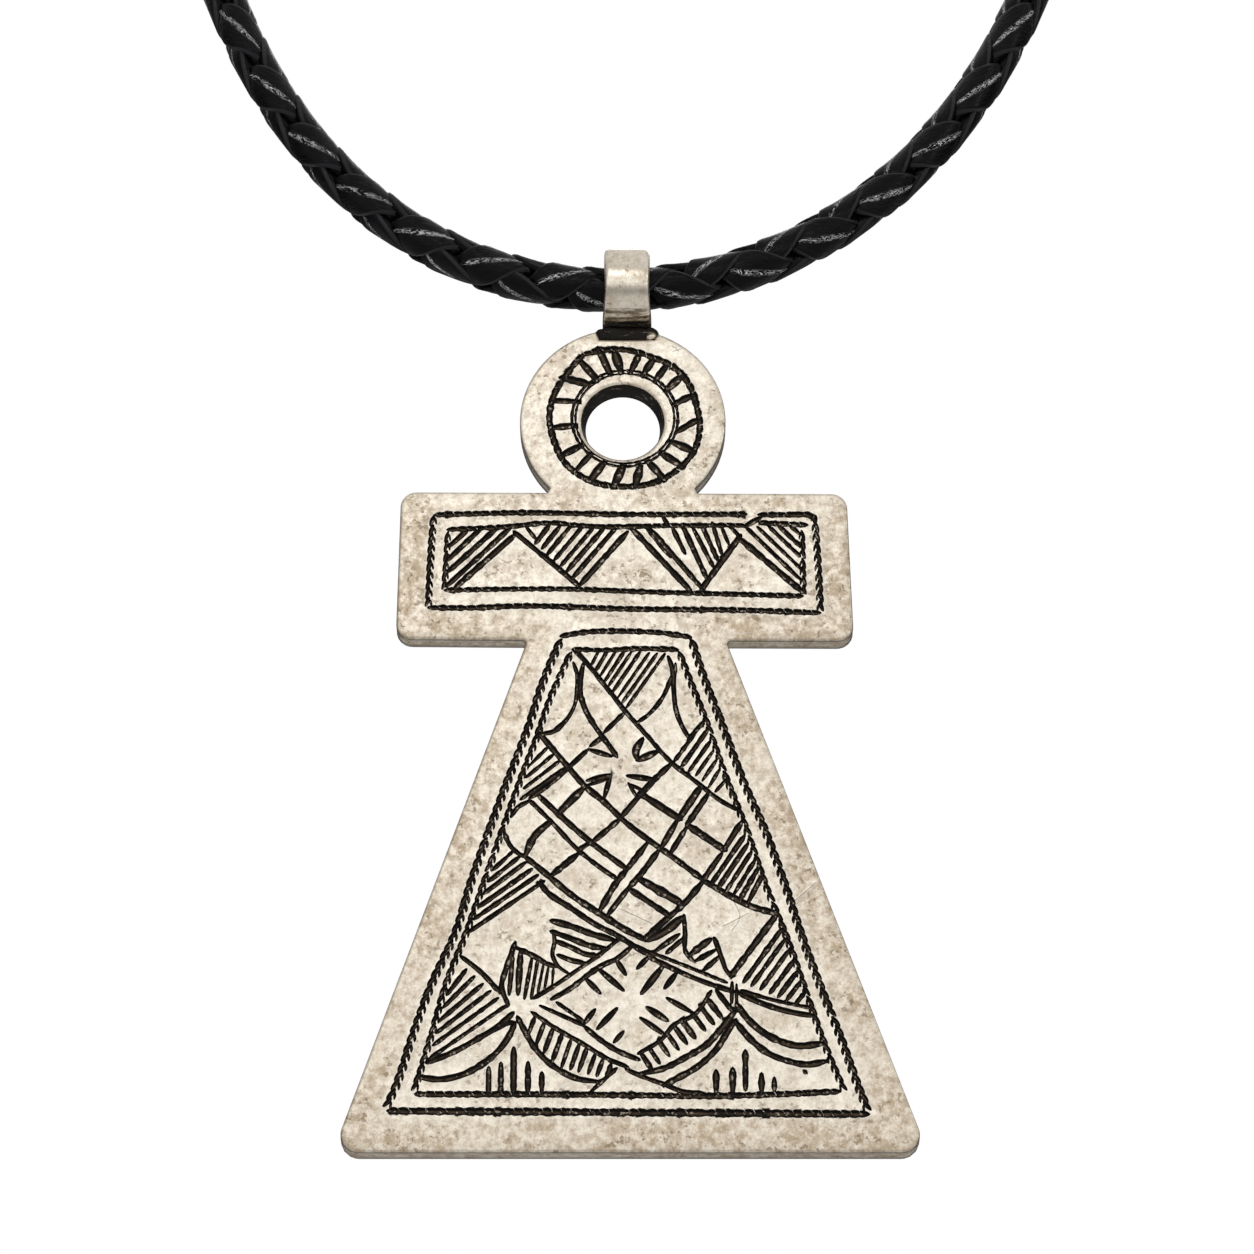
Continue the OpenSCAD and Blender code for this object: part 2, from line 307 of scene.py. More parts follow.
# Hatching. Each row is the number of cuts, their width, and the ends of the first and last cut.
HATCHES = (
    (7, 0.38, (-7.4, -24.6), (-8.5, -26.2), (-1.1, -24.8), (-4.95, -29.7)),
    (5, 0.35, (11.3, -24.8), (16.1, -29.9), (15.3, -24.5), (16.1, -25.3)),
    (9, 0.30, (-2.7, -37.3), (-3.3, -38.6), (3.5, -37.6), (0, -42.9)),
    (6, 0.38, (-10.5, -57.2), (-12.2, -58.9), (-7.7, -60.1), (-14.3, -64.9)),
    (6, 0.38, (10.7, -55.7), (7.7, -60.3), (12.3, -59.7), (11.1, -62.1)),
    (6, 0.36, (-14.7, -68.7), (-16.3, -71), (-11, -72.2), (-17.8, -77.2)),
    (4, 0.36, (-8.4, -73.4), (-8.9, -74.8), (-5.9, -75), (-6.7, -77.4)),
    (6, 0.36, (-5.1, -75.5), (-5.9, -78), (-1.5, -77.8), (-1.9, -78.9)),
    (10, 0.44, (1.3, -76.9), (2.1, -78.2), (8.1, -70.8), (9.4, -72.6)),
    (7, 0.40, (14, -64.8), (10.6, -69.8), (16.1, -71), (15.4, -71.9)),
)

# Borders of small paired marks. Each row is the pattern, the band's width and its points.
# Wheat marks run downwards with their long leaves on the left; mirrored wheat has them on the right.
BORDERS = (
    ("rope", 0.46, (-18, -23.4), (-15, -23.3), (-10, -23.2), (0, -23.35), (11.2, -23.35)),
    ("rope", 0.46, (12.3, -23.4), (14.6, -23.4), (16.3, -23.38), (17.1, -23.42), (17.5, -23.7),
     (17.65, -24.3)),
    ("wheat", 0.56, (-18.1, -23.5), (-18.3, -27), (-18.5, -32.7)),
    ("mirrored wheat", 0.56, (17.6, -24.1), (17.9, -30), (18, -33.2)),
    ("rope", 0.46, (-18.5, -32.85), (-15, -32.9), (-10, -32.7), (0, -33), (10, -33.1), (18, -33.4)),
    ("rope", 0.42, (-16.8, -24.9), (-11, -24.6), (-6.6, -24.25), (-5, -24.45), (5, -24.5), (11, -24.5)),
    ("rope", 0.46, (12.4, -24.2), (16.9, -24.45)),
    ("wheat", 0.50, (-16.75, -25.1), (-17, -31)),
    ("mirrored wheat", 0.50, (16.35, -25), (16.45, -31.5)),
    ("rope", 0.42, (-17, -31.1), (-12.1, -31), (-5, -31), (0, -31.2), (6.8, -31.4), (16.4, -31.7)),
    ("rope", 0.45, (-6.2, -35.75), (-4, -35.35), (0, -35.25), (3.5, -35.45), (5.95, -35.85)),
    ("wheat", 0.64, (-6.1, -36), (-7.65, -40), (-9.15, -45), (-10.9, -50), (-12.6, -55), (-14.2, -60),
     (-15.6, -65), (-17.7, -70), (-19.4, -75), (-20.9, -80), (-21.7, -81.9)),
    ("mirrored wheat", 0.64, (5.95, -36.1), (7.15, -40), (8.9, -45), (10.6, -50), (12.6, -55), (14.3, -60),
     (16.1, -66), (17.7, -70.7), (19.4, -75.4), (20.8, -79.7), (21.7, -82.2)),
    ("rope", 0.56, (-21.6, -82.2), (0, -82.35), (21.8, -82.5)),
    ("rope", 0.42, (-5, -37.05), (-2, -37.15), (1, -37), (4.7, -37.1)),
    ("wheat", 0.54, (-5.15, -37.3), (-6.3, -40), (-7.1, -42), (-8.2, -45.5), (-9.75, -50), (-11.4, -55),
     (-13, -60), (-14.6, -65), (-16.4, -70), (-17.7, -75), (-19.2, -80.3)),
    ("mirrored wheat", 0.54, (4.8, -37.3), (5.75, -40), (7.2, -44), (9.15, -50), (10.95, -55), (12.5, -60),
     (14.8, -66.3), (16.6, -72), (18.1, -76.5), (19.6, -80.3)),
    ("rope", 0.48, (-19.1, -80.6), (0, -80.7), (6.5, -80.8), (14.5, -80.6), (19.2, -80.35)),
)

# Scratches that the wearer's clothes and the years have left
SCRATCHES = (
    (0.10, (-0.7, -62.75), (2.3, -64.25)),
    (0.10, (8.7, -64.5), (11.1, -63.2)),
    (0.08, (9.7, -61.9), (10.3, -63.6), (9.5, -65)),
    (0.10, (4.2, -5.9), (4.6, -6.1), (4.9, -6.5)),
    (0.08, (4.3, -6.5), (5.2, -6.2)),
    (0.07, (14.9, -62.4), (17.3, -60.2)),
    (0.07, (-18.9, -71.5), (-17.6, -69.9)),
)

# The graver: how far a plain cut runs on past its ends, where its wall meets its floor, as a share of its
# half width, how far the burrs and their painted highlight reach, and the periods of the two kinds of border
OVERRUN = 0.13
WALL_FOOT = 0.6
BURR_REACH = 0.13
ROPE_PERIOD = 0.86
WHEAT_PERIOD = 0.96

# The tables of plain cuts, in the order in which they are made
PLAIN_CUTS = (
    DISC_TICKS, BAR_ZIGZAG, BAR_HATCH, HEAD_CUTS, LATTICE_CUTS, SIDE_HATCH, CRESCENTS,
    LEFT_COLUMN, DIAMOND, LEFT_FAN, RIGHT_FAN,
)

# The three rings round the hole of the disc: width of the cut, and radius of the two inner ones
OUTER_RING_WIDTH = 0.50
INNER_RINGS = ((0.24, 5.0), (0.20, 4.66))
INNER_RING_CENTRE = (-0.2, -13.45)

# What the silver's material reads at each point, from 0 to 1: the depth of a cut, the nearness to its middle
# and to its rim, where the burrs get a painted highlight, darkness (on the bail's lower side it is painted
# shade), painted shade lines on the sheet's side with a painted reflection band on the bail, and the browner
# rim of the plate
MARKS = ("cut", "line", "burr_highlight", "dark", "side", "rim")

# Colours of the silver's wear and oxide, and of the painted highlight, shade and reflection on it
GRAIN_BROWN = (0.42, 0.34, 0.25, 1.0)
PIT_BROWN = (0.24, 0.175, 0.11, 1.0)
# Painted highlight along the burrs beside the cuts
BURR_HIGHLIGHT_WHITE = (0.95, 0.91, 0.83, 1.0)
# Painted shade lines on the sheet's side, and the painted reflection band on the bail
SHADE_AND_REFLECTION_GREY = (0.13, 0.11, 0.085, 1.0)
CUT_BROWN = (0.085, 0.058, 0.035, 1.0)
CUT_GLINT = (0.62, 0.52, 0.40, 1.0)
# Brown on the way to black where the silver is dark: painted shade on the bail's lower side, and oxide
SHADE_AND_OXIDE_BROWN = (0.15, 0.10, 0.06, 1.0)
# Each silver's roughness where it is smoothest and roughest
ROUGHNESS = {"engraved_silver": (0.34, 0.48), "bail_silver": (0.20, 0.32), "clasp_silver": (0.28, 0.42)}

# Centre line of the cord, as in the solids: first, second and third harmonic of the angle
ROUTE_X = np.array([61.2, -6.7, 8.1])
ROUTE_Y = np.array([-47.5, 8.0, -4.0])
ROUTE_Z = np.array([-65.3, -23.5, -1.7])
ROUTE_LEAN = np.array([-2.1, 0.6, 1.1])
ROUTE_BACK = 8.0

# The braid: radius of the cord's round, length in which a strand winds round once, how far that is drawn
# out where the cord runs away from the viewer, and the place of a crossing beside the bail
CORD_ROUND = 2.1
BRAID_PITCH = 14.5
DRAWN_OUT = 0.1
CROSSING_OFFSET = -2.0
# A strand: how far out and in its middle goes, its gap to the cord's ends, and its rows of points
STRAND_OUT = 1.75
STRAND_IN = 0.8
STRAND_END_GAP = 4.0
STRAND_ROWS = 1050
# How the crossings turn with the cord, in degrees: their mean, two waves, and half a step at the bail
SWING_MEAN = -30
SWING_WAVES = (42, 11)
SWING_STEP = 45
# Its section: how narrow the squared ellipse is, its width under the others and where it is turned from the
# viewer, as shares, and how far out from its middle its crown and its flanks lie, with the worn edge
SQUARENESS = 0.55
UNDER_WIDTH = 0.56
TURNED_WIDTH = 0.72
CROWN = 0.36
FLANK = -0.20
WORN_EDGE = 0.07
STRANDS = (
    ("strand_1", 1, 0.0),
    ("strand_2", 1, math.pi),
    ("strand_3", -1, 0.0),
    ("strand_4", -1, math.pi),
)
# Direction from the pendant to the viewer. The braid is widest where it faces that way.
FRONT = (0.0, -0.92, -0.39)

# The bail: how far its axis lies below the hinge, its radii and width, its edges' radius, and its steps
BAIL_DROP = 0.3
BAIL_RADIUS = 4.15
BAIL_BORE = 2.7
BAIL_WIDTH = 4.3
BAIL_ROUNDING = 0.48
BAIL_STEPS = 128
# Where the bail has a band of painted reflection, in degrees round it, and how far below level its painted
# shade begins and is full
REFLECTION_BAND = 336
SHADE_BEGINS = 26
SHADE_ENDS = 88

# Half sizes and height of the solder, and the bright drop of silver at its right end
SOLDER_HALF = (3.05, 1.08, 0.80)
SOLDER_HEIGHT = -4.52
DROP_PLACE = (2.35, -4.85)

# The clasp: its middle, length and radius, its blind bores, and its turned rings, from its middle on
CLASP_CENTRE = (0.0, 51.25, 43.5)
CLASP_LENGTH = 18.0
CLASP_RADIUS = 3.6
CLASP_BORE = 2.6
CLASP_BORE_DEPTH = 5.5
CLASP_FIRST_RING = 5.4
CLASP_RING_STEP = 1.1

# Point that the camera looks at
LOOK_AT = (0.0, -0.0527, -0.12592)
# Greys of the room, each after its height: 0 is straight down and 1 is straight up
ROOM_GREYS = (
    (0, 0.50), (0.12, 0.6), (0.24, 0.2), (0.37, 0.16), (0.45, 1.2), (0.60, 1.1), (0.72, 0.8), (0.85, 0.7),
    (1, 0.80),
)
# Soft lamps: name, place, point that it faces, width and height, and power
LAMPS = (
    ("key", (-0.12, -0.96, 0.40), (0, -0.05, -0.1), (0.50, 0.16), 0.65),
    ("fill", (0.8, -0.5, 0.3), (0, -0.05, -0.1), (0.3, 0.4), 0.5),
    ("back", (0.1, 0.7, 0.5), (0, 0, -0.05), (0.4, 0.3), 0.6),
)


def length(name, description, default):
    """A length that a user may change, in metres."""
    return FloatProperty(name=name, description=description, default=default, unit="LENGTH")


def paint(name, description, default):
    """A colour that a user may change."""
    return FloatVectorProperty(name=name, description=description, default=default, subtype="COLOR")


class PlateSettings(bpy.types.PropertyGroup):
    """Sizes and colours of the engraved silver plate."""

    thickness: length("Thickness", "Thickness of the silver sheet", 0.0024)
    cut_depth: length("Cut depth", "Depth of the deepest cuts", 0.00028)
    cut_spread: FloatProperty(
        name="Cut spread", description="Width of the cuts as a share of their charted width", default=1.36,
        min=0.5, max=1.6,
    )
    silver: paint("Silver", "Colour of the polished silver", (0.84, 0.77, 0.655))
    tarnish: paint("Tarnish", "Colour of the tarnished silver", (0.47, 0.375, 0.265))
    oxide: paint("Oxide", "Colour of the black oxide in the cuts", (0.012, 0.010, 0.008))


class CordSettings(bpy.types.PropertyGroup):
    """Sizes and colours of the braided cord."""

    thong_width: length("Thong width", "Width of one leather thong", 0.0042)
    thong_thickness: length("Thong thickness", "Thickness of a thong in its middle", 0.00178)
    leather: paint("Leather", "Colour of the dyed leather", (0.0015, 0.0015, 0.002))
    # Colour of the painted highlight in pale crackled lines along each thong's middle
    painted_highlight: paint("Creases", "Colour of the polished creases", (0.90, 0.90, 0.92))
    # A thong's cut edge is paler, partly as a painted highlight along the edge
    edge: paint("Cut edge", "Colour of a thong's cut edge", (0.02, 0.02, 0.022))


class ClaspSettings(bpy.types.PropertyGroup):
    """Sizes of the barrel clasp at the nape."""

    rings: IntProperty(name="Rings", description="Turned rings at each end of the barrel", default=2, min=0)
    ring_depth: length("Ring depth", "Depth of the turned rings", 0.00025)


class StageSettings(bpy.types.PropertyGroup):
    """Camera, floor and light."""

    distance: length("Distance", "From the camera to the plate", 0.6)
    rise: FloatProperty(
        name="Rise", description="How far the camera looks upwards", default=math.radians(23),
        subtype="ANGLE",
    )
    lens: FloatProperty(name="Lens", description="Focal length in millimetres", default=185.2)
    floor_height: length("Floor height", "Height of the floor", -0.46)


def add_node(tree, kind, inputs=None, **settings):
    """One shader node. Inputs are values or the sockets that feed them."""
    new = tree.nodes.new(kind)
    for name, value in settings.items():
        setattr(new, name, value)
    for socket, value in (inputs or {}).items():
        target = new.inputs[socket]
        if isinstance(value, bpy.types.NodeSocket):
            tree.links.new(value, target)
        else:
            target.default_value = value
    return new


def mixed(tree, share, first, second):
    """Colour from first at share 0 to second at share 1."""
    values = {0: share, 6: first, 7: second}
    return add_node(tree, "ShaderNodeMix", values, data_type="RGBA").outputs[2]


def ramp(tree, value, low, high, at_low=0.0, at_high=1.0):
    """Value carried smoothly from the range low to high onto at_low to at_high."""
    inputs = {"Value": value, 1: low, 2: high, 3: at_low, 4: at_high}
    return add_node(tree, "ShaderNodeMapRange", inputs, interpolation_type="SMOOTHSTEP").outputs[0]


def joined(tree, operation, first, second=0.0, clamp=True):
    """Two values joined by one operation."""
    inputs = {0: first, 1: second}
    return add_node(tree, "ShaderNodeMath", inputs, operation=operation, use_clamp=clamp).outputs[0]


def times(tree, first, second, clamp=True):
    """Two values multiplied."""
    return joined(tree, "MULTIPLY", first, second, clamp)


def noise(tree, place, scale, detail=3.0, rough=0.55, distortion=0.0):
    """Noise whose grain is 1 / scale of the place's unit."""
    inputs = {
        "Vector": place, "Scale": scale, "Detail": detail, "Roughness": rough, "Distortion": distortion,
    }
    return add_node(tree, "ShaderNodeTexNoise", inputs).outputs["Fac"]


def scaled(tree, place, scale):
    """The place with each of its axes scaled."""
    return add_node(tree, "ShaderNodeMapping", {"Vector": place, "Scale": scale}).outputs["Vector"]


def new_material(name):
    """An empty material with its surface shader and its place on the object."""
    material = bpy.data.materials.new(name)
    material.use_nodes = True
    tree = material.node_tree
    shader = tree.nodes["Principled BSDF"]
    place = add_node(tree, "ShaderNodeTexCoord").outputs["Object"]
    return material, tree, shader, place


def finish_material(tree, shader, base, rough, height, strength, distance):
    """Feeds a material's colour, roughness and bumps to its shader."""
    bump = add_node(tree, "ShaderNodeBump", {"Height": height, "Strength": strength, "Distance": distance})
    tree.links.new(base, shader.inputs["Base Color"])
    tree.links.new(rough, shader.inputs["Roughness"])
    tree.links.new(bump.outputs["Normal"], shader.inputs["Normal"])


def colour(values):
    """A colour with its alpha."""
    return (*values, 1.0)


def silver_material(settings, name, blackened):
    """Worn silver: warm polish, brown specks in its pits and blotches of tarnish. Blackened silver also has
    black oxide in its cuts with glints, a painted highlight on the burrs beside them, darkness that is
    painted shade on the bail's lower side, painted shade lines on its side, a painted reflection band on the
    bail and a browner rim, from its marks."""
    material, tree, shader, place = new_material(name)
    blotch = noise(tree, place, 240.0, 3.0, 0.6)
    patch = noise(tree, place, 1100.0, 6.0, 0.72)
    grain = noise(tree, place, 3600.0, 3.0, 0.65)
    speck = noise(tree, place, 1700.0, 3.0, 0.62)
    mottled = ramp(tree, joined(tree, "ADD", times(tree, patch, 0.6), times(tree, blotch, 0.4)), 0.42, 0.62)
    specked = times(tree, ramp(tree, speck, 0.585, 0.66), ramp(tree, blotch, 0.42, 0.56, 0.25, 1.0))
    tarnished = times(tree, mottled, 0.62)
    if blackened:
        cut, line, burr_highlight, dark, side, rim = (
            add_node(tree, "ShaderNodeAttribute", attribute_name=mark).outputs["Fac"] for mark in MARKS
        )
        rim = times(tree, rim, ramp(tree, patch, 0.35, 0.65, 0.12, 0.46))
        tarnished = joined(tree, "ADD", tarnished, rim)
    base = mixed(tree, tarnished, colour(settings.silver), colour(settings.tarnish))
    base = mixed(tree, ramp(tree, grain, 0.40, 0.70, 0.0, 0.35), base, GRAIN_BROWN)
    base = mixed(tree, times(tree, specked, 0.75), base, PIT_BROWN)
    rough = ramp(tree, patch, 0.3, 0.7, *ROUGHNESS[name])
    if blackened:
        # Painted highlight on the burrs along the rims of the cuts
        base = mixed(tree, times(tree, burr_highlight, 0.42), base, BURR_HIGHLIGHT_WHITE)
        # Painted shade lines on the sheet's side, and the bail's painted reflection band
        base = mixed(tree, times(tree, side, 0.92), base, SHADE_AND_REFLECTION_GREY)
        glint = times(tree, ramp(tree, noise(tree, place, 2300.0, 2.0), 0.60, 0.65), 0.9)
        brown = times(tree, ramp(tree, line, 0.25, 0.8), ramp(tree, patch, 0.40, 0.56))
        black = mixed(tree, brown, colour(settings.oxide), CUT_BROWN)
        black = mixed(tree, times(tree, glint, line), black, CUT_GLINT)
        # The dark mark, streaked, turns the silver brown and then black; on the bail's lower side it is
        # painted shade
        streak = noise(tree, scaled(tree, place, (0.16, 1.0, 1.0)), 2400.0, 3.0)
        streak = times(tree, ramp(tree, streak, 0.2, 0.8, -0.4, 0.4), ramp(tree, dark, 0.0, 0.3), False)
        shade_and_oxide = joined(tree, "ADD", dark, streak, False)
        base = mixed(tree, ramp(tree, shade_and_oxide, 0.30, 0.62, 0.0, 0.85), base, SHADE_AND_OXIDE_BROWN)
        black_share = joined(tree, "MAXIMUM", ramp(tree, cut, 0.03, 0.2), ramp(tree, shade_and_oxide, 0.62, 0.80))
        base = mixed(tree, black_share, base, black)
        metal = joined(tree, "SUBTRACT", 1.0, times(tree, black_share, 0.95))
        tree.links.new(metal, shader.inputs["Metallic"])
        gloss = joined(tree, "SUBTRACT", 0.5, times(tree, black_share, 0.42))
        tree.links.new(gloss, shader.inputs["Specular IOR Level"])
        rough = joined(tree, "ADD", rough, times(tree, black_share, 0.1))
    else:
        shader.inputs["Metallic"].default_value = 1.0
    height = joined(tree, "SUBTRACT", times(tree, patch, 0.6), times(tree, specked, 0.7), False)
    finish_material(tree, shader, base, rough, height, 0.4, 0.00006)
    return material


def leather_material(settings):
    """Dyed leather: fine cracks along the lay of the thong, a painted highlight in pale crackled lines
    along its middle, where a noise is near its mean, and a paler cut edge that is partly painted highlight."""
    material, tree, shader, _ = new_material("black_leather")
    lay = add_node(tree, "ShaderNodeUVMap", uv_map="lay").outputs["UV"]
    stretched = scaled(tree, lay, (1.7, 0.6, 1.0))
    across = add_node(tree, "ShaderNodeSeparateXYZ", {"Vector": lay}).outputs["X"]
    centre = joined(tree, "ABSOLUTE", across, clamp=False)
    half = settings.thong_width / MM / 2
    wrinkle = noise(tree, stretched, 0.9, 3.0, 0.6, 0.5)
    cell = {"Vector": stretched, "Scale": 1.5, "Randomness": 1.0}
    cracks = add_node(tree, "ShaderNodeTexVoronoi", cell, feature="DISTANCE_TO_EDGE").outputs["Distance"]
    dull = ramp(tree, wrinkle, 0.35, 0.7, 0.0, 0.6)
    base = mixed(tree, dull, colour(settings.leather), (0.003, 0.003, 0.004, 1.0))
    # The paler cut edge, partly a painted highlight where the edge catches the light
    base = mixed(tree, ramp(tree, centre, half - 0.04, half - 0.02), base, colour(settings.edge))
    # Painted highlight: pale crackled lines along the thong's middle, where a noise is near its mean
    highlight_lines = noise(tree, stretched, 1.5, 4.0, 0.65, 1.4)
    from_mean = joined(tree, "ABSOLUTE", joined(tree, "SUBTRACT", highlight_lines, 0.5, False), clamp=False)
    painted_reflection = times(tree, ramp(tree, centre, 0.46, 0.10), ramp(tree, from_mean, 0.028, 0.004))
    base = mixed(tree, painted_reflection, base, colour(settings.painted_highlight))
    rough = ramp(tree, wrinkle, 0.3, 0.7, 0.14, 0.26)
    cracked = times(tree, ramp(tree, cracks, 0.0, 0.16), 0.4)
    height = joined(tree, "ADD", times(tree, wrinkle, 0.8), cracked, False)
    finish_material(tree, shader, base, rough, height, 1.0, 0.00004)
    shader.inputs["Specular IOR Level"].default_value = 0.1
    return material


def linked(name, data):
    """A new object of that data in the scene."""
    holder = bpy.data.objects.new(name, data)
    bpy.context.scene.collection.objects.link(holder)
    return holder


def add_values(mesh, values):
    """Gives the mesh its attributes, one number a point."""
    for label, numbers in values.items():
        layer = mesh.attributes.new(label, "FLOAT", "POINT")
        layer.data.foreach_set("value", np.asarray(numbers, np.float32))


def new_piece(name, points, faces, material, body, values=None, lay=None, sharp=None):
    """A piece from points in millimetres, riding on a body. Values are its attributes, one number a point,
    and lay its UV map in millimetres, one pair a point."""
    mesh = bpy.data.meshes.new(name)
    mesh.from_pydata((np.asarray(points) * MM).tolist(), [], faces)
    add_values(mesh, values or {})
    if lay is not None:
        corner = np.zeros(len(mesh.loops), np.int32)
        mesh.loops.foreach_get("vertex_index", corner)
        mesh.uv_layers.new(name="lay").data.foreach_set("uv", np.asarray(lay, np.float32)[corner].ravel())
    mesh.shade_smooth()
    if sharp:
        mesh.set_sharp_from_angle(angle=math.radians(sharp))
    mesh.materials.append(material)
    piece = linked(name, mesh)
    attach(piece, body)
    return piece


def grid_faces(rows, columns, close_rows=False, close_columns=False):
    """Quads of a grid whose points are listed row by row."""
    r = np.arange(rows if close_rows else rows - 1)[:, None]
    c = np.arange(columns if close_columns else columns - 1)[None, :]
    r2, c2 = (r + 1) % rows, (c + 1) % columns
    corners = [r * columns + c, r * columns + c2, r2 * columns + c2, r2 * columns + c]
    return np.stack(corners, axis=-1).reshape(-1, 4)


def smooth_line(points, step):
    """A cubic curve through the points, sampled every step: each span blends its ends' places and slopes."""
    p = np.array(points, float)
    t = np.concatenate([[0.0], np.cumsum(np.linalg.norm(np.diff(p, axis=0), axis=1))])
    s = np.linspace(0.0, t[-1], max(3, int(round(t[-1] / step)) + 1))
    i = np.clip(np.searchsorted(t, s, side="right") - 1, 0, len(t) - 2)
    span = (t[i + 1] - t[i])[:, None]
    u = (s - t[i])[:, None] / span
    slope = np.gradient(p, t, axis=0)
    blend_a = (1 + 2 * u) * (1 - u) ** 2
    blend_b = u * u * (3 - 2 * u)
    return (
        p[i] * blend_a + p[i + 1] * blend_b
        + slope[i] * span * u * (1 - u) ** 2 - slope[i + 1] * span * u * u * (1 - u)
    )


def round_steps(count):
    """Angles once round in that many steps."""
    return np.linspace(0, 2 * np.pi, count, endpoint=False)


def unit(v):
    """Rows of v at length 1."""
    return v / np.linalg.norm(v, axis=1, keepdims=True)


def turned(line):
    """Unit directions along a line of points, and the same turned a quarter to the left."""
    along = unit(np.gradient(line, axis=0))
    return along, np.stack([-along[:, 1], along[:, 0]], axis=1)


class Cut:
    """One cut of the graver: a line of points, the half width at each, and its depth. A leaf's width follows
    the upper part of a sine. The others wander by a tenth and narrow close to their ends: a plain cut is
    blunt, a rope has a waist in every period, and a scratch is shallow."""

    def __init__(self, points, width, rng, kind="plain", step=0.4):
        points = np.array(points, float)
        if kind == "plain":
            points[0] += OVERRUN * unit(points[:1] - points[1])[0]
            points[-1] += OVERRUN * unit(points[-1:] - points[-2])[0]
        self.line = smooth_line(points, step)
        count = len(self.line)
        u = np.linspace(0.0, 1.0, count)
        if kind == "leaf":
            self.half = width / 2 * (0.22 + 0.78 * np.sin(np.pi * (0.1 + 0.8 * u)) ** 0.8)
        else:
            length = step * (count - 1)
            near_end = np.minimum(u, 1 - u) * length / max(width, 0.1)
            wander = 1 + 0.09 * rng.standard_normal(count)
            self.half = width / 2 * wander * np.clip(0.62 + 0.45 * near_end, 0.0, 1.0)
            if kind == "rope":
                self.half *= 0.80 + 0.28 * np.abs(np.sin(np.pi * u * round(length / ROPE_PERIOD)))
        self.depth = 0.11 if kind == "scratch" else min(1.0, 0.35 + width * 1.5)

    def loop(self, share):
        """The closed line at that share of the half width."""
        along, left = turned(self.line)
        half = (self.half * share)[:, None]
        start = self.line[:1] - along[:1] * half[:1]
        end = self.line[-1:] + along[-1:] * half[-1:]
        return np.concatenate([start, self.line + left * half, end, (self.line - left * half)[::-1]])

    def beside(self, reach):
        """Points that lie reach outside both sides."""
        left = turned(self.line)[1]
        half = (self.half + reach)[:, None]
        return np.concatenate([self.line + left * half, self.line - left * half])


def measured(cut, points, reach):
    """The points near a cut, how far each lies from its middle line, and the cut's half width there."""
    reach = cut.half.max() + reach
    low, high = cut.line.min(0) - reach, cut.line.max(0) + reach
    near = np.nonzero(((points > low) & (points < high)).all(1))[0]
    start, run = cut.line[:-1], np.diff(cut.line, axis=0)
    away = points[near][:, None] - start[None]
    share = np.clip((away * run).sum(2) / (run * run).sum(1), 0, 1)
    distance = np.linalg.norm(away - share[..., None] * run, axis=2)
    half = cut.half[:-1] + share * np.diff(cut.half)
    pick = np.argmin(distance / half, axis=1)
    rows = np.arange(len(near))
    return near, distance[rows, pick], half[rows, pick]


def shape_of(cuts, ridges, points):
    """Depth, nearness to a cut's middle, and nearness to a cut's rim, at each point. A cut's wall slopes
    evenly to its foot, and its floor rises again by a fifth to the middle. Ridges stand in the cuts."""
    depth, line, burr_highlight = np.zeros(len(points)), np.zeros(len(points)), np.zeros(len(points))
    for cut in cuts:
        near, distance, half = measured(cut, points, 0.5)
        ratio = distance / half
        wall = np.clip((1 - ratio) / (1 - WALL_FOOT), 0, 1)
        floor = np.clip(1 - ratio / WALL_FOOT, 0, 1)
        here = cut.depth * wall * (1 - 0.2 * floor)
        deeper = here > depth[near]
        depth[near] = np.maximum(depth[near], here)
        line[near] = np.where(deeper, floor, line[near])
        burr_highlight[near] = np.maximum(burr_highlight[near], np.exp(-np.clip(distance - half, 0, None) / BURR_REACH))
    for ridge in ridges:
        near, distance, half = measured(ridge, points, 0.1)
        depth[near] *= 1 - np.clip((1.15 - distance / half) / 0.5, 0, 0.95)
    return depth, line, burr_highlight


def border_cuts(pattern, width, points, rng):
    """Cuts and ridges of a band of small marks. Rope is one waisted cut with small ridges in it, and wheat
    is a long leaf that slants outwards with a short one beside it, in every period."""
    period = ROPE_PERIOD if pattern == "rope" else WHEAT_PERIOD
    step = 0.05
    fine = smooth_line(points, step)
    count = max(1, int(round(step * (len(fine) - 1) / period)))
    side = -1.0 if pattern == "mirrored wheat" else 1.0
    left = turned(fine)[1]
    travel = np.linspace(0, 1, len(fine))

    def mark(width_share, shares, offsets):
        """A leaf through places given as shares of the band's length and offsets in band widths."""
        shares = np.clip(shares, 0, 1)
        base, normal = (
            np.stack([np.interp(shares, travel, values[:, k]) for k in (0, 1)], axis=1)
            for values in (fine, left)
        )
        line = base + normal * (np.array(offsets) * width * side)[:, None]
        return Cut(line, width * width_share, rng, "leaf", 0.2)

    cuts, ridges = [], []
    if pattern == "rope":
        cuts.append(Cut(points, width, rng, "rope", ROPE_PERIOD / 4))
    for n in range(count):
        at = (n + rng.uniform(-0.06, 0.06) + np.array([0.0, 0.3, 0.55, 0.95, 1.12])) / count
        if pattern != "rope":
            cuts.append(mark(rng.uniform(0.54, 0.64), at[[0, 2, 4]], [0.04, -0.16, -0.34]))
            cuts.append(mark(rng.uniform(0.32, 0.40), at[[1, 3]], [0.22, 0.38]))
        elif rng.uniform() < 0.8:
            first, last = rng.uniform(0.25, 0.55), rng.uniform(-0.30, 0.0)
            ridges.append(mark(rng.uniform(0.20, 0.30), at[[0, 1]], [first, last]))
    return cuts, ridges


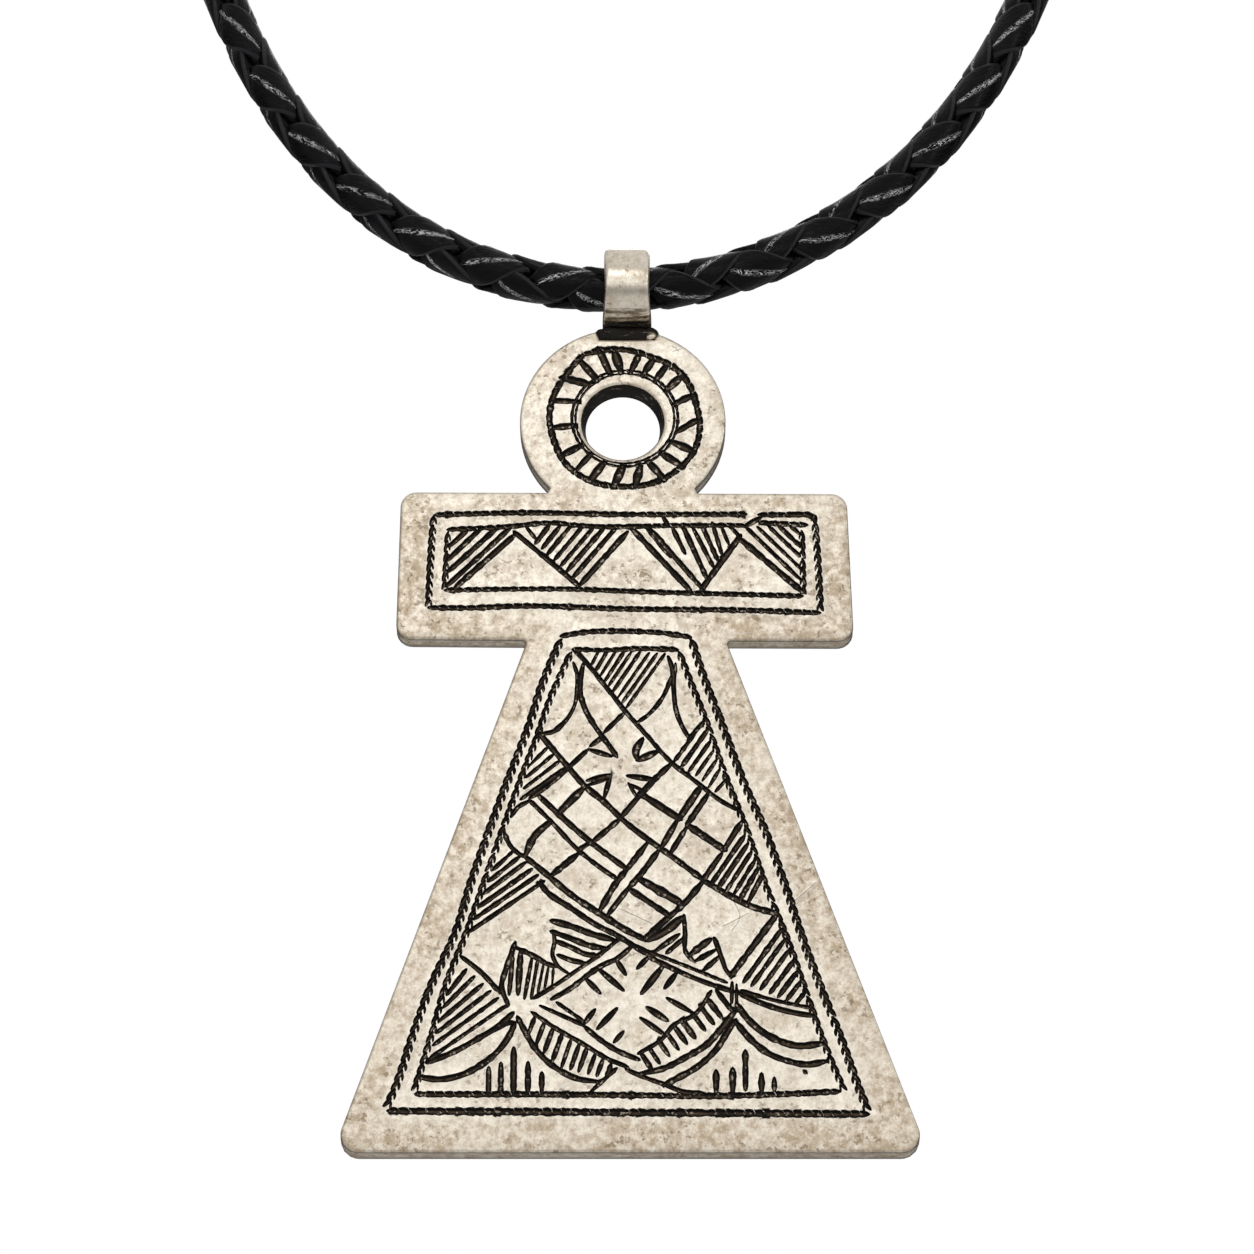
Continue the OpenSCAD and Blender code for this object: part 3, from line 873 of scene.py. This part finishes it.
def all_cuts(spread):
    """Every cut and ridge of the engraving, from the tables. Spread widens the cuts."""
    rng = np.random.default_rng(7)
    cuts, ridges = [], []
    for table in PLAIN_CUTS:
        cuts += [Cut(row[1:], row[0] * spread, rng) for row in table]
    cuts += [Cut(row[1:], row[0], rng, "scratch") for row in SCRATCHES]
    for table in (UPPER_STAR, LOWER_STAR):
        cuts += [Cut(row[1:], row[0] * spread, rng, "leaf", 0.3) for row in table]
    for count, width, first_a, first_b, last_a, last_b in HATCHES:
        share = np.linspace(0, 1, count)[:, None] + rng.uniform(-0.012, 0.012, (count, 1))
        heads = np.array(first_a) + share * (np.array(last_a) - first_a)
        tails = np.array(first_b) + share * (np.array(last_b) - first_b)
        widths = width * spread * rng.uniform(0.88, 1.1, count)
        cuts += [Cut([head, tail], wide, rng) for head, tail, wide in zip(heads, tails, widths)]
    turn = np.linspace(0, 2 * np.pi, 25)
    circle = np.stack([np.sin(turn), np.cos(turn)], axis=1)
    bands = [*BORDERS, ("rope", OUTER_RING_WIDTH, *RING_POINTS)]
    bands += [("rope", width, *(circle * radius + INNER_RING_CENTRE)) for width, radius in INNER_RINGS]
    for pattern, width, *points in bands:
        band_cuts, band_ridges = border_cuts(pattern, width * spread, points, rng)
        cuts += band_cuts
        ridges += band_ridges
    return cuts, ridges


def arc(corner, before, after, radius, count=7):
    """Points of a round corner that touches the lines to the points before and after it."""
    corner = np.array(corner, float)
    a, b = (np.array(p, float) - corner for p in (before, after))
    a, b = a / np.linalg.norm(a), b / np.linalg.norm(b)
    half = math.acos(float(np.clip(a @ b, -1, 1))) / 2
    middle = (a + b) / np.linalg.norm(a + b)
    centre = corner + middle * radius / math.sin(half)
    first, last = corner + a * radius / math.tan(half), corner + b * radius / math.tan(half)
    share = np.linspace(0, 1, count)[:, None]
    return centre + unit((first - centre) * (1 - share) + (last - centre) * share) * radius


def plate_outline():
    """Closed outline of the plate, clockwise from the left side of the notch: the disc's arc with rounded
    corners where it meets the bar, the bar, and the flared plate."""

    def disc_at(degrees):
        """Points of the disc's arc at those degrees from its top."""
        turn = np.radians(degrees)
        return DISC_CENTRE + DISC_RADIUS * np.stack([np.sin(turn), np.cos(turn)], -1)

    def on_side(low, high, height):
        """The point at that height on the line from low to high."""
        share = (height - high[1]) / (low[1] - high[1])
        return (high[0] + share * (low[0] - high[0]), height)

    top_left, top_right, low_right, low_left = BAR_CORNERS
    flare_left, flare_right, base_right, base_left = FLARE_CORNERS
    disc_left = disc_at(np.linspace(*LEFT_ARC, 27))
    disc_right = disc_at(np.linspace(*RIGHT_ARC, 26))
    meet_left, meet_right = DISC_MEETS
    neck_left = on_side(base_left, flare_left, NECK_HEIGHTS[0])
    neck_right = on_side(base_right, flare_right, NECK_HEIGHTS[1])
    parts = [
        [(-NOTCH_HALF, NOTCH_FLOOR), (NOTCH_HALF, NOTCH_FLOOR)],
        disc_right,
        arc(meet_right, disc_right[-1], top_right, DISC_MEET_RADIUS, 4),
        arc(top_right, meet_right, low_right, BAR_CORNER_RADIUS),
        arc(low_right, top_right, low_left, BAR_CORNER_RADIUS),
        arc(neck_right, low_right, base_right, NECK_RADIUS, 4),
        arc(base_right, neck_right, base_left, FLARE_CORNER_RADIUS),
        arc(base_left, base_right, neck_left, FLARE_CORNER_RADIUS),
        arc(neck_left, base_left, low_left, NECK_RADIUS, 4),
        arc(low_left, low_right, top_left, BAR_CORNER_RADIUS),
        arc(top_left, low_left, meet_left, BAR_CORNER_RADIUS),
        arc(meet_left, top_left, disc_left[0], DISC_MEET_RADIUS, 4),
        disc_left,
    ]
    corners = np.concatenate([np.asarray(part, float) for part in parts])
    ends = np.roll(corners, -1, axis=0)
    steps = np.maximum(1, np.round(np.linalg.norm(ends - corners, axis=1) / OUTLINE_STEP).astype(int))
    start = np.repeat(corners, steps, axis=0)
    run = np.repeat(ends - corners, steps, axis=0)
    share = np.concatenate([np.arange(n) / n for n in steps])[:, None]
    return start + run * share


def inset(loop, distance):
    """A clockwise closed loop moved inwards, along the mean of its two sides at each point."""
    before, after = unit(loop - np.roll(loop, 1, axis=0)), unit(np.roll(loop, -1, axis=0) - loop)
    mean = before + after
    length = np.linalg.norm(mean, axis=1, keepdims=True)
    mean /= length
    inward = np.stack([mean[:, 1], -mean[:, 0]], axis=1)
    return loop + inward * distance * np.clip(2 / length, 1, 1.4)


def inside(points, loop):
    """Whether each point lies within a closed loop: a ray to the right crosses it an odd number of times."""
    x, y = points[:, 0][:, None], points[:, 1][:, None]
    x1, y1 = loop[:, 0], loop[:, 1]
    x2, y2 = np.roll(x1, -1), np.roll(y1, -1)
    slope = (x2 - x1) / np.where(y2 == y1, 1e-12, y2 - y1)
    crosses = ((y1 > y) != (y2 > y)) & (x < x1 + (y - y1) * slope)
    return crosses.sum(1) % 2 == 1


def sheet_between(outer, hole, cuts, ridges, spacing):
    """Triangles that fill the sheet between its outer loop and its hole and follow every cut's rim, foot and
    middle, and every ridge. Returns the plan points and the triangles."""
    points, edges = [], []

    def add(line, closed):
        """A line that the triangles have to follow."""
        first = sum(len(p) for p in points)
        points.append(line)
        count = len(line)
        ends = np.arange(count) if closed else np.arange(count - 1)
        edges.append(first + np.stack([ends, (ends + 1) % count], axis=1))

    add(outer, True)
    add(hole, True)
    for cut in cuts:
        add(cut.loop(1.0), True)
        add(cut.loop(WALL_FOOT), True)
        add(cut.line, False)
    for ridge in ridges:
        add(ridge.loop(1.0), True)
        add(ridge.line, False)
    # Loose points on a grid of triangles and beside the cuts, but not at the loops or close to a cut
    low, high = outer.min(0), outer.max(0)
    x, y = np.meshgrid(np.arange(low[0], high[0], spacing), np.arange(low[1], high[1], spacing * 0.87))
    x = x + (np.arange(len(x)) % 2)[:, None] * spacing / 2
    loose = np.concatenate([np.stack([x.ravel(), y.ravel()], axis=1)] + [cut.beside(0.14) for cut in cuts])
    keep = inside(loose, inset(outer, 0.25)) & ~inside(loose, inset(hole[::-1], -0.25))
    loose = loose[keep]
    if cuts:
        loose = loose[shape_of(cuts, [], loose)[2] < 0.55]
    points.append(loose)
    flat = [Vector(p) for p in np.concatenate(points)]
    made = delaunay_2d_cdt(flat, np.concatenate(edges).tolist(), [], 0, 1e-4, False)
    plan = np.array([v[:] for v in made[0]])
    faces = np.array(made[2])
    middle = plan[faces].mean(1)
    return plan, faces[inside(middle, outer) & ~inside(middle, hole)]


def rim_share(plan, outline):
    """How far each point of the bar and the flared plate is part of the rim, by its distance from the
    outline. The disc has no such rim."""
    blocks = np.array_split(plan, 16)
    distance = np.concatenate([np.linalg.norm(block[:, None] - outline, axis=2).min(1) for block in blocks])
    below_disc = np.clip((-20.0 - plan[:, 1]) / 3.0, 0, 1)
    return np.clip((RIM_END - distance) / (RIM_END - RIM_FULL), 0, 1) * below_disc


def waves(plan):
    """Slow unevenness of the hand-worked sheet, in millimetres: a sum of long waves."""
    x, y = plan[:, 0], plan[:, 1]
    across, slanted = np.sin(x / 3.1 + 0.7) * np.cos(y / 4.3), np.sin((x + y) / 2.3)
    return 0.02 * across + 0.015 * slanted + 0.012 * np.cos((x - 1.7 * y) / 5.1)


def marks_of(count, **own):
    """The marks of that many points: those that are given, and 0 for the others."""
    return {mark: np.broadcast_to(own.get(mark, 0.0), count) for mark in MARKS}


def stitched(points, faces, values):
    """The same surface with doubled points merged and its faces pointing outwards."""
    mesh = bpy.data.meshes.new("stitched")
    mesh.from_pydata(np.asarray(points).tolist(), [], faces)
    add_values(mesh, values)
    work = bmesh.new()
    work.from_mesh(mesh)
    bmesh.ops.remove_doubles(work, verts=work.verts, dist=1e-4)
    bmesh.ops.recalc_face_normals(work, faces=work.faces)
    work.to_mesh(mesh)
    work.free()
    count = len(mesh.vertices)
    place = np.zeros(count * 3)
    mesh.vertices.foreach_get("co", place)
    merged = {label: np.zeros(count, np.float32) for label in values}
    for label, numbers in merged.items():
        mesh.attributes[label].data.foreach_get("value", numbers)
    faces = [list(polygon.vertices) for polygon in mesh.polygons]
    bpy.data.meshes.remove(mesh)
    return place.reshape(-1, 3), faces, merged


def edge_profile(thick):
    """Rings round the sheet's edge: the distance inwards and the depth below the front of each."""
    front = ((0.28, 0.0), (0.14, 0.03), (0.05, 0.10), (0.01, 0.18), (0.0, 0.26), (0.0, 0.5), (0.0, 0.9))
    groove = ((0.05, 1.0), (0.0, 1.1))
    back = ((0.0, thick - 0.4), (0.1, thick - 0.16), (0.3, thick - 0.04), (0.5, thick))
    return front + groove + back


def hole_profile(thick):
    """Rings down the tapered hole: the radius and the depth below the front of each."""
    front = ((4.20, 0.0), (4.08, 0.03), (3.97, 0.09), (HOLE_RADIUS, 0.17), (3.84, 0.3))
    back = ((HOLE_BACK_RADIUS, thick - 0.3), (3.6, thick - 0.08), (3.75, thick))
    return front + back


class PENDANT_OT_plate(bpy.types.Operator):
    """Makes the engraved plate from its outline and its cuts"""

    bl_idname = "pendant.plate"
    bl_label = "Engraved plate"

    def execute(self, context):
        settings = context.scene.pendant_plate
        thick = settings.thickness / MM
        outline = plate_outline()
        turn = round_steps(72)
        circle = np.stack([np.cos(turn), np.sin(turn)], axis=1)
        edge_rings, hole_rings = edge_profile(thick), hole_profile(thick)
        points, faces, marks = [], [], []

        def edge_loop(inwards):
            """A ring of the sheet's edge."""
            return inset(outline, inwards)

        def hole_loop(radius):
            """A ring of the hole."""
            return HOLE_CENTRE + circle * radius

        def add(plan, down, own_faces, **own):
            """Points at that depth below the front, with their faces and marks."""
            first = sum(len(p) for p in points)
            depth = np.broadcast_to(down - thick / 2, len(plan))
            points.append(np.stack([plan[:, 0], depth, plan[:, 1]], axis=1))
            faces.extend((np.asarray(own_faces) + first).tolist())
            marks.append(marks_of(len(plan), **own))

        cuts, ridges = all_cuts(settings.cut_spread)
        front = edge_loop(edge_rings[0][0]), hole_loop(hole_rings[0][0])
        plan, triangles = sheet_between(*front, cuts, ridges, spacing=1.3)
        depth, line, burr_highlight = shape_of(cuts, ridges, plan)
        # The burrs stand up a little beside the cuts
        down = depth * settings.cut_depth / MM + waves(plan) - 0.02 * burr_highlight * (depth < 0.05)
        add(plan, down, triangles, cut=depth, line=line, burr_highlight=burr_highlight, rim=rim_share(plan, outline))
        for rings, loop_at in ((edge_rings, edge_loop), (hole_rings, hole_loop)):
            loops = [loop_at(place) for place, _ in rings]
            count = len(loops[0])
            plan = np.concatenate(loops)
            down = np.repeat([down for _, down in rings], count)
            own_faces = grid_faces(len(rings), count, close_columns=True)
            if rings is hole_rings:
                # The wall of the hole is black
                own = {"dark": (down > 0.15) & (down < thick - 0.1)}
            else:
                # Two painted shade lines, under the front edge and above the back edge
                side = np.interp(down, (0.12, 0.2, 0.3, 0.5, 1.7, 2.0, 2.3), (0, 1, 1, 0.25, 0.25, 1, 0))
                own = {"side": side, "rim": rim_share(plan, outline)}
            # The front's waves fade out down the side
            fade = np.clip(1 - down / 0.34, 0, 1)
            add(plan, down + fade * waves(plan), own_faces, **own)
        back = edge_loop(edge_rings[-1][0]), hole_loop(hole_rings[-1][0])
        plan, triangles = sheet_between(*back, [], [], spacing=2.0)
        add(plan, thick, triangles, rim=rim_share(plan, outline))
        values = {mark: np.concatenate([part[mark] for part in marks]) for mark in MARKS}
        points, faces, values = stitched(np.concatenate(points), faces, values)
        material = silver_material(settings, "engraved_silver", True)
        plate = new_piece(
            "silver_plate", points + PLATE_ZERO, faces, material, "pendant", values, sharp=28
        )
        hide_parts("pendant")
        return {"FINISHED"}


def revolved(profile, count, centre):
    """A closed profile of rows (place along x, distance from the axis) carried once round the x axis."""
    turn = round_steps(count)[:, None]
    along = np.broadcast_to(profile[:, 0], (count, len(profile)))
    out = profile[:, 1][None, :]
    grid = np.stack([along, -out * np.cos(turn), out * np.sin(turn)], axis=-1)
    return grid + np.array(centre), turn


def rounded_band(half_width, inner, outer, radius, count=5):
    """Profile of a flat ring with rounded edges."""
    turn = np.linspace(0, np.pi / 2, count)
    spots = []
    for x, r, start in ((1, 1, 0.0), (-1, 1, 1.0), (-1, -1, 2.0), (1, -1, 3.0)):
        middle = np.array([x * (half_width - radius), (outer if r > 0 else inner) - r * radius])
        angle = start * np.pi / 2 + turn
        spots.append(middle + radius * np.stack([np.cos(angle), np.sin(angle)], axis=1))
    return np.concatenate(spots)


def squared(v, power):
    """A sine or cosine with fuller shoulders: its sign on its size raised to a power below 1."""
    return np.sign(v) * np.abs(v) ** power


def solder_lump(rows, columns):
    """The solder's points and how black each is: a squared ball whose front and back carry two waves, with a
    bright drop of silver on its front."""
    lat = np.linspace(-np.pi / 2, np.pi / 2, rows)[:, None]
    lon = round_steps(columns)[None, :]
    half_x, half_y, half_z = SOLDER_HALF
    x = half_x * squared(np.cos(lat), 0.4) * squared(np.cos(lon), 0.3)
    y = half_y * squared(np.cos(lat), 0.5) * squared(np.sin(lon), 0.5)
    z = SOLDER_HEIGHT + half_z * squared(np.sin(lat), 0.5) * np.ones_like(lon)
    lump = 0.09 * np.sin(2.7 * x + 1.0) * np.cos(5.1 * z) + 0.07 * np.sin(6.3 * x + 4.9 * z)
    y = y + lump * np.sign(y) * (np.abs(y) > 0.3)
    z = z + 0.05 * np.sin(3.1 * x)
    points = np.stack([x, y, z], axis=-1).reshape(-1, 3)
    drop = np.exp(-((points[:, [0, 2]] - DROP_PLACE) ** 2).sum(1) / 0.16)
    dark = 1 - 0.9 * drop * (points[:, 1] < 0)
    points[:, 1] -= 0.25 * drop
    return points, dark


class PENDANT_OT_bail(bpy.types.Operator):
    """Makes the bail, a strip bent to a tube, and the blackened solder that holds it"""

    bl_idname = "pendant.bail"
    bl_label = "Bail and solder"

    def execute(self, context):
        material = silver_material(context.scene.pendant_plate, "bail_silver", True)

        def add(name, origin, points, faces, sharp, **own):
            """One closed piece of the bail with its marks."""
            points, faces, values = stitched(points, faces.tolist(), marks_of(len(points), **own))
            new_piece(name, points + origin, faces, material, "pendant", values, sharp=sharp)

        # Spread a little at its foot, black in its bore, and darker towards the solder, where painted shade
        # falls on its lower side
        profile = rounded_band(BAIL_WIDTH / 2, BAIL_BORE, BAIL_RADIUS, BAIL_ROUNDING)
        grid, turn = revolved(profile, BAIL_STEPS, (0, 0, -BAIL_DROP))
        low = -np.sin(turn)
        grid[..., 0] *= 1 + 0.07 * np.clip(low, 0, 1) ** 2 + 0.01 * np.sin(3 * turn)
        shade_and_oxide = np.clip((np.degrees(np.arcsin(low)) - SHADE_BEGINS) / (SHADE_ENDS - SHADE_BEGINS), 0, 1)
        dark = np.where(profile[:, 1] < 3.0, 0.85, shade_and_oxide).ravel()
        # A grey band of painted reflection just below its front
        painted_reflection = 0.5 * np.exp(-((np.degrees(turn) - REFLECTION_BAND) / 6) ** 2)
        faces = grid_faces(BAIL_STEPS, len(profile), close_rows=True, close_columns=True)
        side = painted_reflection.repeat(len(profile))
        add("bail", HANG_POINT, grid.reshape(-1, 3), faces, 50, dark=dark, side=side)

        rows, columns = 25, 72
        points, dark = solder_lump(rows, columns)
        add("solder", PLATE_ZERO, points, grid_faces(rows, columns, close_columns=True), None, dark=dark)
        return {"FINISHED"}


def route(a):
    """Centre line of the cord at angle a, and its slope: a sum of three harmonics on each axis."""
    order = np.arange(1, 4)
    sin, cos = np.sin(np.outer(a, order)), np.cos(np.outer(a, order))
    place = [sin @ ROUTE_X, cos @ ROUTE_Y - ROUTE_BACK, cos @ ROUTE_Z + sin @ ROUTE_LEAN]
    sin, cos = sin * order, cos * order
    slope = [cos @ ROUTE_X, -sin @ ROUTE_Y, cos @ ROUTE_LEAN - sin @ ROUTE_Z]
    return np.stack(place, axis=1), np.stack(slope, axis=1)


def braid_frame():
    """Along the cord: its middle, two directions square to it, the length, and the angle that the braid has
    wound since the bail. The directions turn with the cord by a sum of two waves and one step at the bail,
    so that the viewer sees one pair of strands on top on the left and the other on the right. The braid is
    drawn out where the cord runs away from the viewer."""
    steps = np.radians(np.arange(-180, 180.25, 0.5))
    runs = np.linalg.norm(np.diff(route(steps)[0], axis=0), axis=1)
    drawn = runs * (1 - DRAWN_OUT * (1 - np.cos(4 * steps[:-1])))
    lengths, wound = (np.concatenate([[0.0], np.cumsum(each)]) for each in (runs, drawn))
    length = np.linspace(STRAND_END_GAP, lengths[-1] - STRAND_END_GAP, STRAND_ROWS)
    a = np.interp(length, lengths, steps)
    middle, slope = route(a)
    along = unit(slope)
    away = middle * (1, 1, 0)
    outward = unit(away - (away * along).sum(1, keepdims=True) * along)
    sideways = np.cross(along, outward)
    wave = SWING_WAVES[0] * np.cos(2 * a) + SWING_WAVES[1] * np.cos(4 * a)
    step = SWING_STEP * (1 - np.tanh(a / 0.4))
    swing = np.radians(SWING_MEAN + wave + step)[:, None]
    out = outward * np.cos(swing) + sideways * np.sin(swing)
    side = sideways * np.cos(swing) - outward * np.sin(swing)
    from_bail = np.interp(length, lengths, wound) - wound[len(steps) // 2]
    return middle, out, side, length, 2 * np.pi * (from_bail - CROSSING_OFFSET) / BRAID_PITCH


def strand_surface(way, start, width, thickness):
    """A thong of the braid, and its lay in millimetres across and along. Its middle goes round the cord on a
    squared ellipse, wide over the other pair and narrow under it, and it narrows where it dives under the
    others or turns from the viewer. Its back falls off from the crown as the cord's own round does, and its
    belly is half an ellipse that bends with the back."""
    middle, out, side, length, wound = braid_frame()
    t = (start + wound)[:, None]
    # The thong's face turns slowly while it lies on top and fast while it is under the others
    slow_out, slow_side = (1.0, SQUARENESS) if way > 0 else (SQUARENESS, 1.0)
    face = np.arctan2(slow_side * np.sin(t), slow_out * np.cos(t))
    through = out * np.cos(face) + side * way * np.sin(face)
    across = side * np.cos(face) - out * way * np.sin(face)
    on_top = np.abs(np.cos(t) if way > 0 else np.sin(t))
    facing = (through @ np.array(FRONT))[:, None] ** 2
    narrow = (UNDER_WIDTH + (1 - UNDER_WIDTH) * on_top) * (TURNED_WIDTH + (1 - TURNED_WIDTH) * facing)
    high = STRAND_OUT * (0.95 + 0.05 * facing)
    if way > 0:
        centre = middle + out * high * np.cos(face) + side * way * STRAND_IN * np.sin(t)
    else:
        centre = middle + out * STRAND_IN * np.cos(t) + side * way * high * np.sin(face)

    u = np.linspace(-1, 1, 15)
    reach = np.clip(u * width / 2 * narrow, -CORD_ROUND, CORD_ROUND)
    fall = CORD_ROUND - np.sqrt(CORD_ROUND ** 2 - reach ** 2)
    back = CROWN - fall
    back[:, [0, -1]] -= WORN_EDGE
    belly = FLANK - (thickness - CROWN + FLANK) * np.sqrt(np.clip(1 - u ** 2, 0, 1)) - 0.75 * fall
    height = np.concatenate([back, belly[:, ::-2]], axis=1)
    offset = np.concatenate([u, u[::-2]]) * width / 2
    grid = (
        centre[:, None] + across[:, None] * (offset * narrow)[..., None]
        + through[:, None] * height[..., None]
    )
    lay = np.stack(np.broadcast_arrays(offset + 0 * height, length[:, None]), axis=-1)
    return grid, lay


class PENDANT_OT_braid(bpy.types.Operator):
    """Makes the four leather thongs of the braid"""

    bl_idname = "pendant.braid"
    bl_label = "Braided cord"

    def execute(self, context):
        settings = context.scene.pendant_cord
        leather = leather_material(settings)
        for name, way, start in STRANDS:
            grid, lay = strand_surface(way, start, settings.thong_width / MM, settings.thong_thickness / MM)
            rows, columns = grid.shape[:2]
            faces = grid_faces(rows, columns, close_columns=True)
            if way > 0:
                faces = faces[:, ::-1]
            ends = [list(range(columns)), list(range((rows - 1) * columns, rows * columns))]
            ends[0 if way < 0 else 1].reverse()
            thong = new_piece(
                "thong_" + name[-1], grid.reshape(-1, 3), faces.tolist() + ends, leather, "cord",
                lay=lay.reshape(-1, 2), sharp=60,
            )
            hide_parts(name)
        return {"FINISHED"}


class PENDANT_OT_clasp(bpy.types.Operator):
    """Makes the turned barrel clasp at the nape"""

    bl_idname = "pendant.clasp"
    bl_label = "Clasp"

    def execute(self, context):
        settings = context.scene.pendant_clasp
        # The right half's profile: place along the barrel and distance from its axis
        end = CLASP_LENGTH / 2
        low = CLASP_RADIUS - settings.ring_depth / MM
        rows = [(0.0, CLASP_RADIUS - 0.25), (0.12, CLASP_RADIUS - 0.05), (0.3, CLASP_RADIUS)]
        for ring in range(settings.rings):
            x = CLASP_FIRST_RING + CLASP_RING_STEP * ring
            rows += [(x - 0.3, CLASP_RADIUS), (x - 0.1, low), (x + 0.1, low), (x + 0.3, CLASP_RADIUS)]
        rows += [
            (end - 0.7, CLASP_RADIUS), (end - 0.35, CLASP_RADIUS - 0.12), (end - 0.08, CLASP_RADIUS - 0.4),
            (end, CLASP_RADIUS - 0.62), (end - 0.05, CLASP_BORE + 0.12), (end - 0.2, CLASP_BORE),
            (end - CLASP_BORE_DEPTH, CLASP_BORE), (end - CLASP_BORE_DEPTH, 0.02),
        ]
        right = np.array(rows)
        left = right[::-1] * (-1, 1)
        profile = np.concatenate([left[:-1], right])
        count = 96
        grid, _ = revolved(profile, count, CLASP_CENTRE)
        faces = grid_faces(count, len(profile), close_rows=True).tolist()
        first = (np.arange(count) * len(profile)).tolist()
        last = [n + len(profile) - 1 for n in first]
        points, faces, _ = stitched(grid.reshape(-1, 3), faces + [first, last], {})
        material = silver_material(context.scene.pendant_plate, "clasp_silver", False)
        clasp = new_piece("barrel_clasp", points, faces, material, "cord", sharp=35)
        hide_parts("clasp")
        return {"FINISHED"}


def aim(holder, place, direction):
    """Puts the camera or a lamp at a place, looking along a direction."""
    holder.location = place
    holder.rotation_euler = direction.to_track_quat("-Z", "Y").to_euler()


def add_camera(scene, settings):
    """The camera, below the plate and looking up at it."""
    camera = bpy.data.cameras.new("camera")
    camera.lens = settings.lens
    camera.clip_start = 0.01
    look = Vector((0.0, math.cos(settings.rise), math.sin(settings.rise)))
    scene.camera = linked("camera", camera)
    aim(scene.camera, Vector(LOOK_AT) - look * settings.distance, look)
    scene.view_settings.view_transform = "Standard"


def add_floor(height):
    """A plain pale floor: a flat disc of rings."""
    rings, spokes = 12, 48
    radius = np.linspace(0.02, 4.0, rings)[:, None]
    turn = round_steps(spokes)[None, :]
    points = np.stack([radius * np.cos(turn), radius * np.sin(turn), height + 0 * radius * turn], axis=-1)
    faces = grid_faces(rings, spokes, close_columns=True).tolist() + [list(range(spokes))]
    mesh = bpy.data.meshes.new("floor")
    mesh.from_pydata(points.reshape(-1, 3).tolist(), [], faces)
    material, tree, shader, place = new_material("pale_floor")
    base = mixed(tree, noise(tree, place, 3.0), (0.86, 0.86, 0.86, 1.0), (0.90, 0.90, 0.90, 1.0))
    tree.links.new(base, shader.inputs["Base Color"])
    shader.inputs["Roughness"].default_value = 0.9
    mesh.materials.append(material)
    linked("floor", mesh)


def add_room(scene):
    """Light of the room: greys by height in front of the necklace and above it, and dark behind it. The
    camera itself sees white."""
    world = bpy.data.worlds.new("studio")
    scene.world = world
    world.use_nodes = True
    tree = world.node_tree
    way = add_node(tree, "ShaderNodeTexCoord").outputs["Generated"]
    split = add_node(tree, "ShaderNodeSeparateXYZ", {"Vector": way}).outputs
    level = add_node(tree, "ShaderNodeMapRange", {"Value": split["Z"], 1: -1.0, 2: 1.0}).outputs[0]
    wall = add_node(tree, "ShaderNodeValToRGB", {"Fac": level})
    stops = wall.color_ramp.elements
    stops[0].color = colour([ROOM_GREYS[0][1]] * 3)
    stops[1].color = colour([ROOM_GREYS[-1][1]] * 3)
    for height, grey in ROOM_GREYS[1:-1]:
        stops.new(height).color = colour([grey] * 3)
    front = joined(tree, "MAXIMUM", ramp(tree, split["Y"], 0.2, -0.85), ramp(tree, split["Z"], 0.3, 0.75))
    room = mixed(tree, front, (0.10, 0.10, 0.105, 1.0), wall.outputs["Color"])
    seen = add_node(tree, "ShaderNodeLightPath").outputs["Is Camera Ray"]
    shown = mixed(tree, seen, room, (1.0, 1.0, 1.0, 1.0))
    tree.links.new(shown, tree.nodes["Background"].inputs["Color"])
    tree.nodes["Background"].inputs["Strength"].default_value = 1.0


class PENDANT_OT_stage(bpy.types.Operator):
    """Makes the camera, the floor, the room's light and the lamps"""

    bl_idname = "pendant.stage"
    bl_label = "Stage"

    def execute(self, context):
        settings = context.scene.pendant_stage
        add_camera(context.scene, settings)
        add_floor(settings.floor_height)
        add_room(context.scene)
        for name, place, target, size, energy in LAMPS:
            lamp = bpy.data.lights.new(name, "AREA")
            lamp.shape = "RECTANGLE"
            lamp.size, lamp.size_y = size
            lamp.energy = energy
            aim(linked(name, lamp), place, Vector(target) - Vector(place))
        return {"FINISHED"}


PARTS = ("stage", "plate", "bail", "braid", "clasp")
GROUPS = {
    "pendant_plate": PlateSettings,
    "pendant_cord": CordSettings,
    "pendant_clasp": ClaspSettings,
    "pendant_stage": StageSettings,
}


class PENDANT_PT_parts(bpy.types.Panel):
    """Lists the pieces and their settings"""

    bl_idname = "PENDANT_PT_parts"
    bl_label = "Pendant"
    bl_space_type = "VIEW_3D"
    bl_region_type = "UI"
    bl_category = "Pendant"

    def draw(self, context):
        for part in PARTS:
            self.layout.operator("pendant." + part)
        for group in GROUPS:
            settings = getattr(context.scene, group)
            column = self.layout.column()
            for name in settings.__annotations__:
                column.prop(settings, name)


CLASSES = (
    *GROUPS.values(), PENDANT_OT_stage, PENDANT_OT_plate, PENDANT_OT_bail, PENDANT_OT_braid,
    PENDANT_OT_clasp, PENDANT_PT_parts,
)


def register():
    for each in CLASSES:
        bpy.utils.register_class(each)
    for name, group in GROUPS.items():
        setattr(bpy.types.Scene, name, PointerProperty(type=group))


def unregister():
    for name in GROUPS:
        delattr(bpy.types.Scene, name)
    for each in reversed(CLASSES):
        bpy.utils.unregister_class(each)


def main():
    register()
    for part in PARTS:
        getattr(bpy.ops.pendant, part)()


if __name__ == "__main__":
    main()
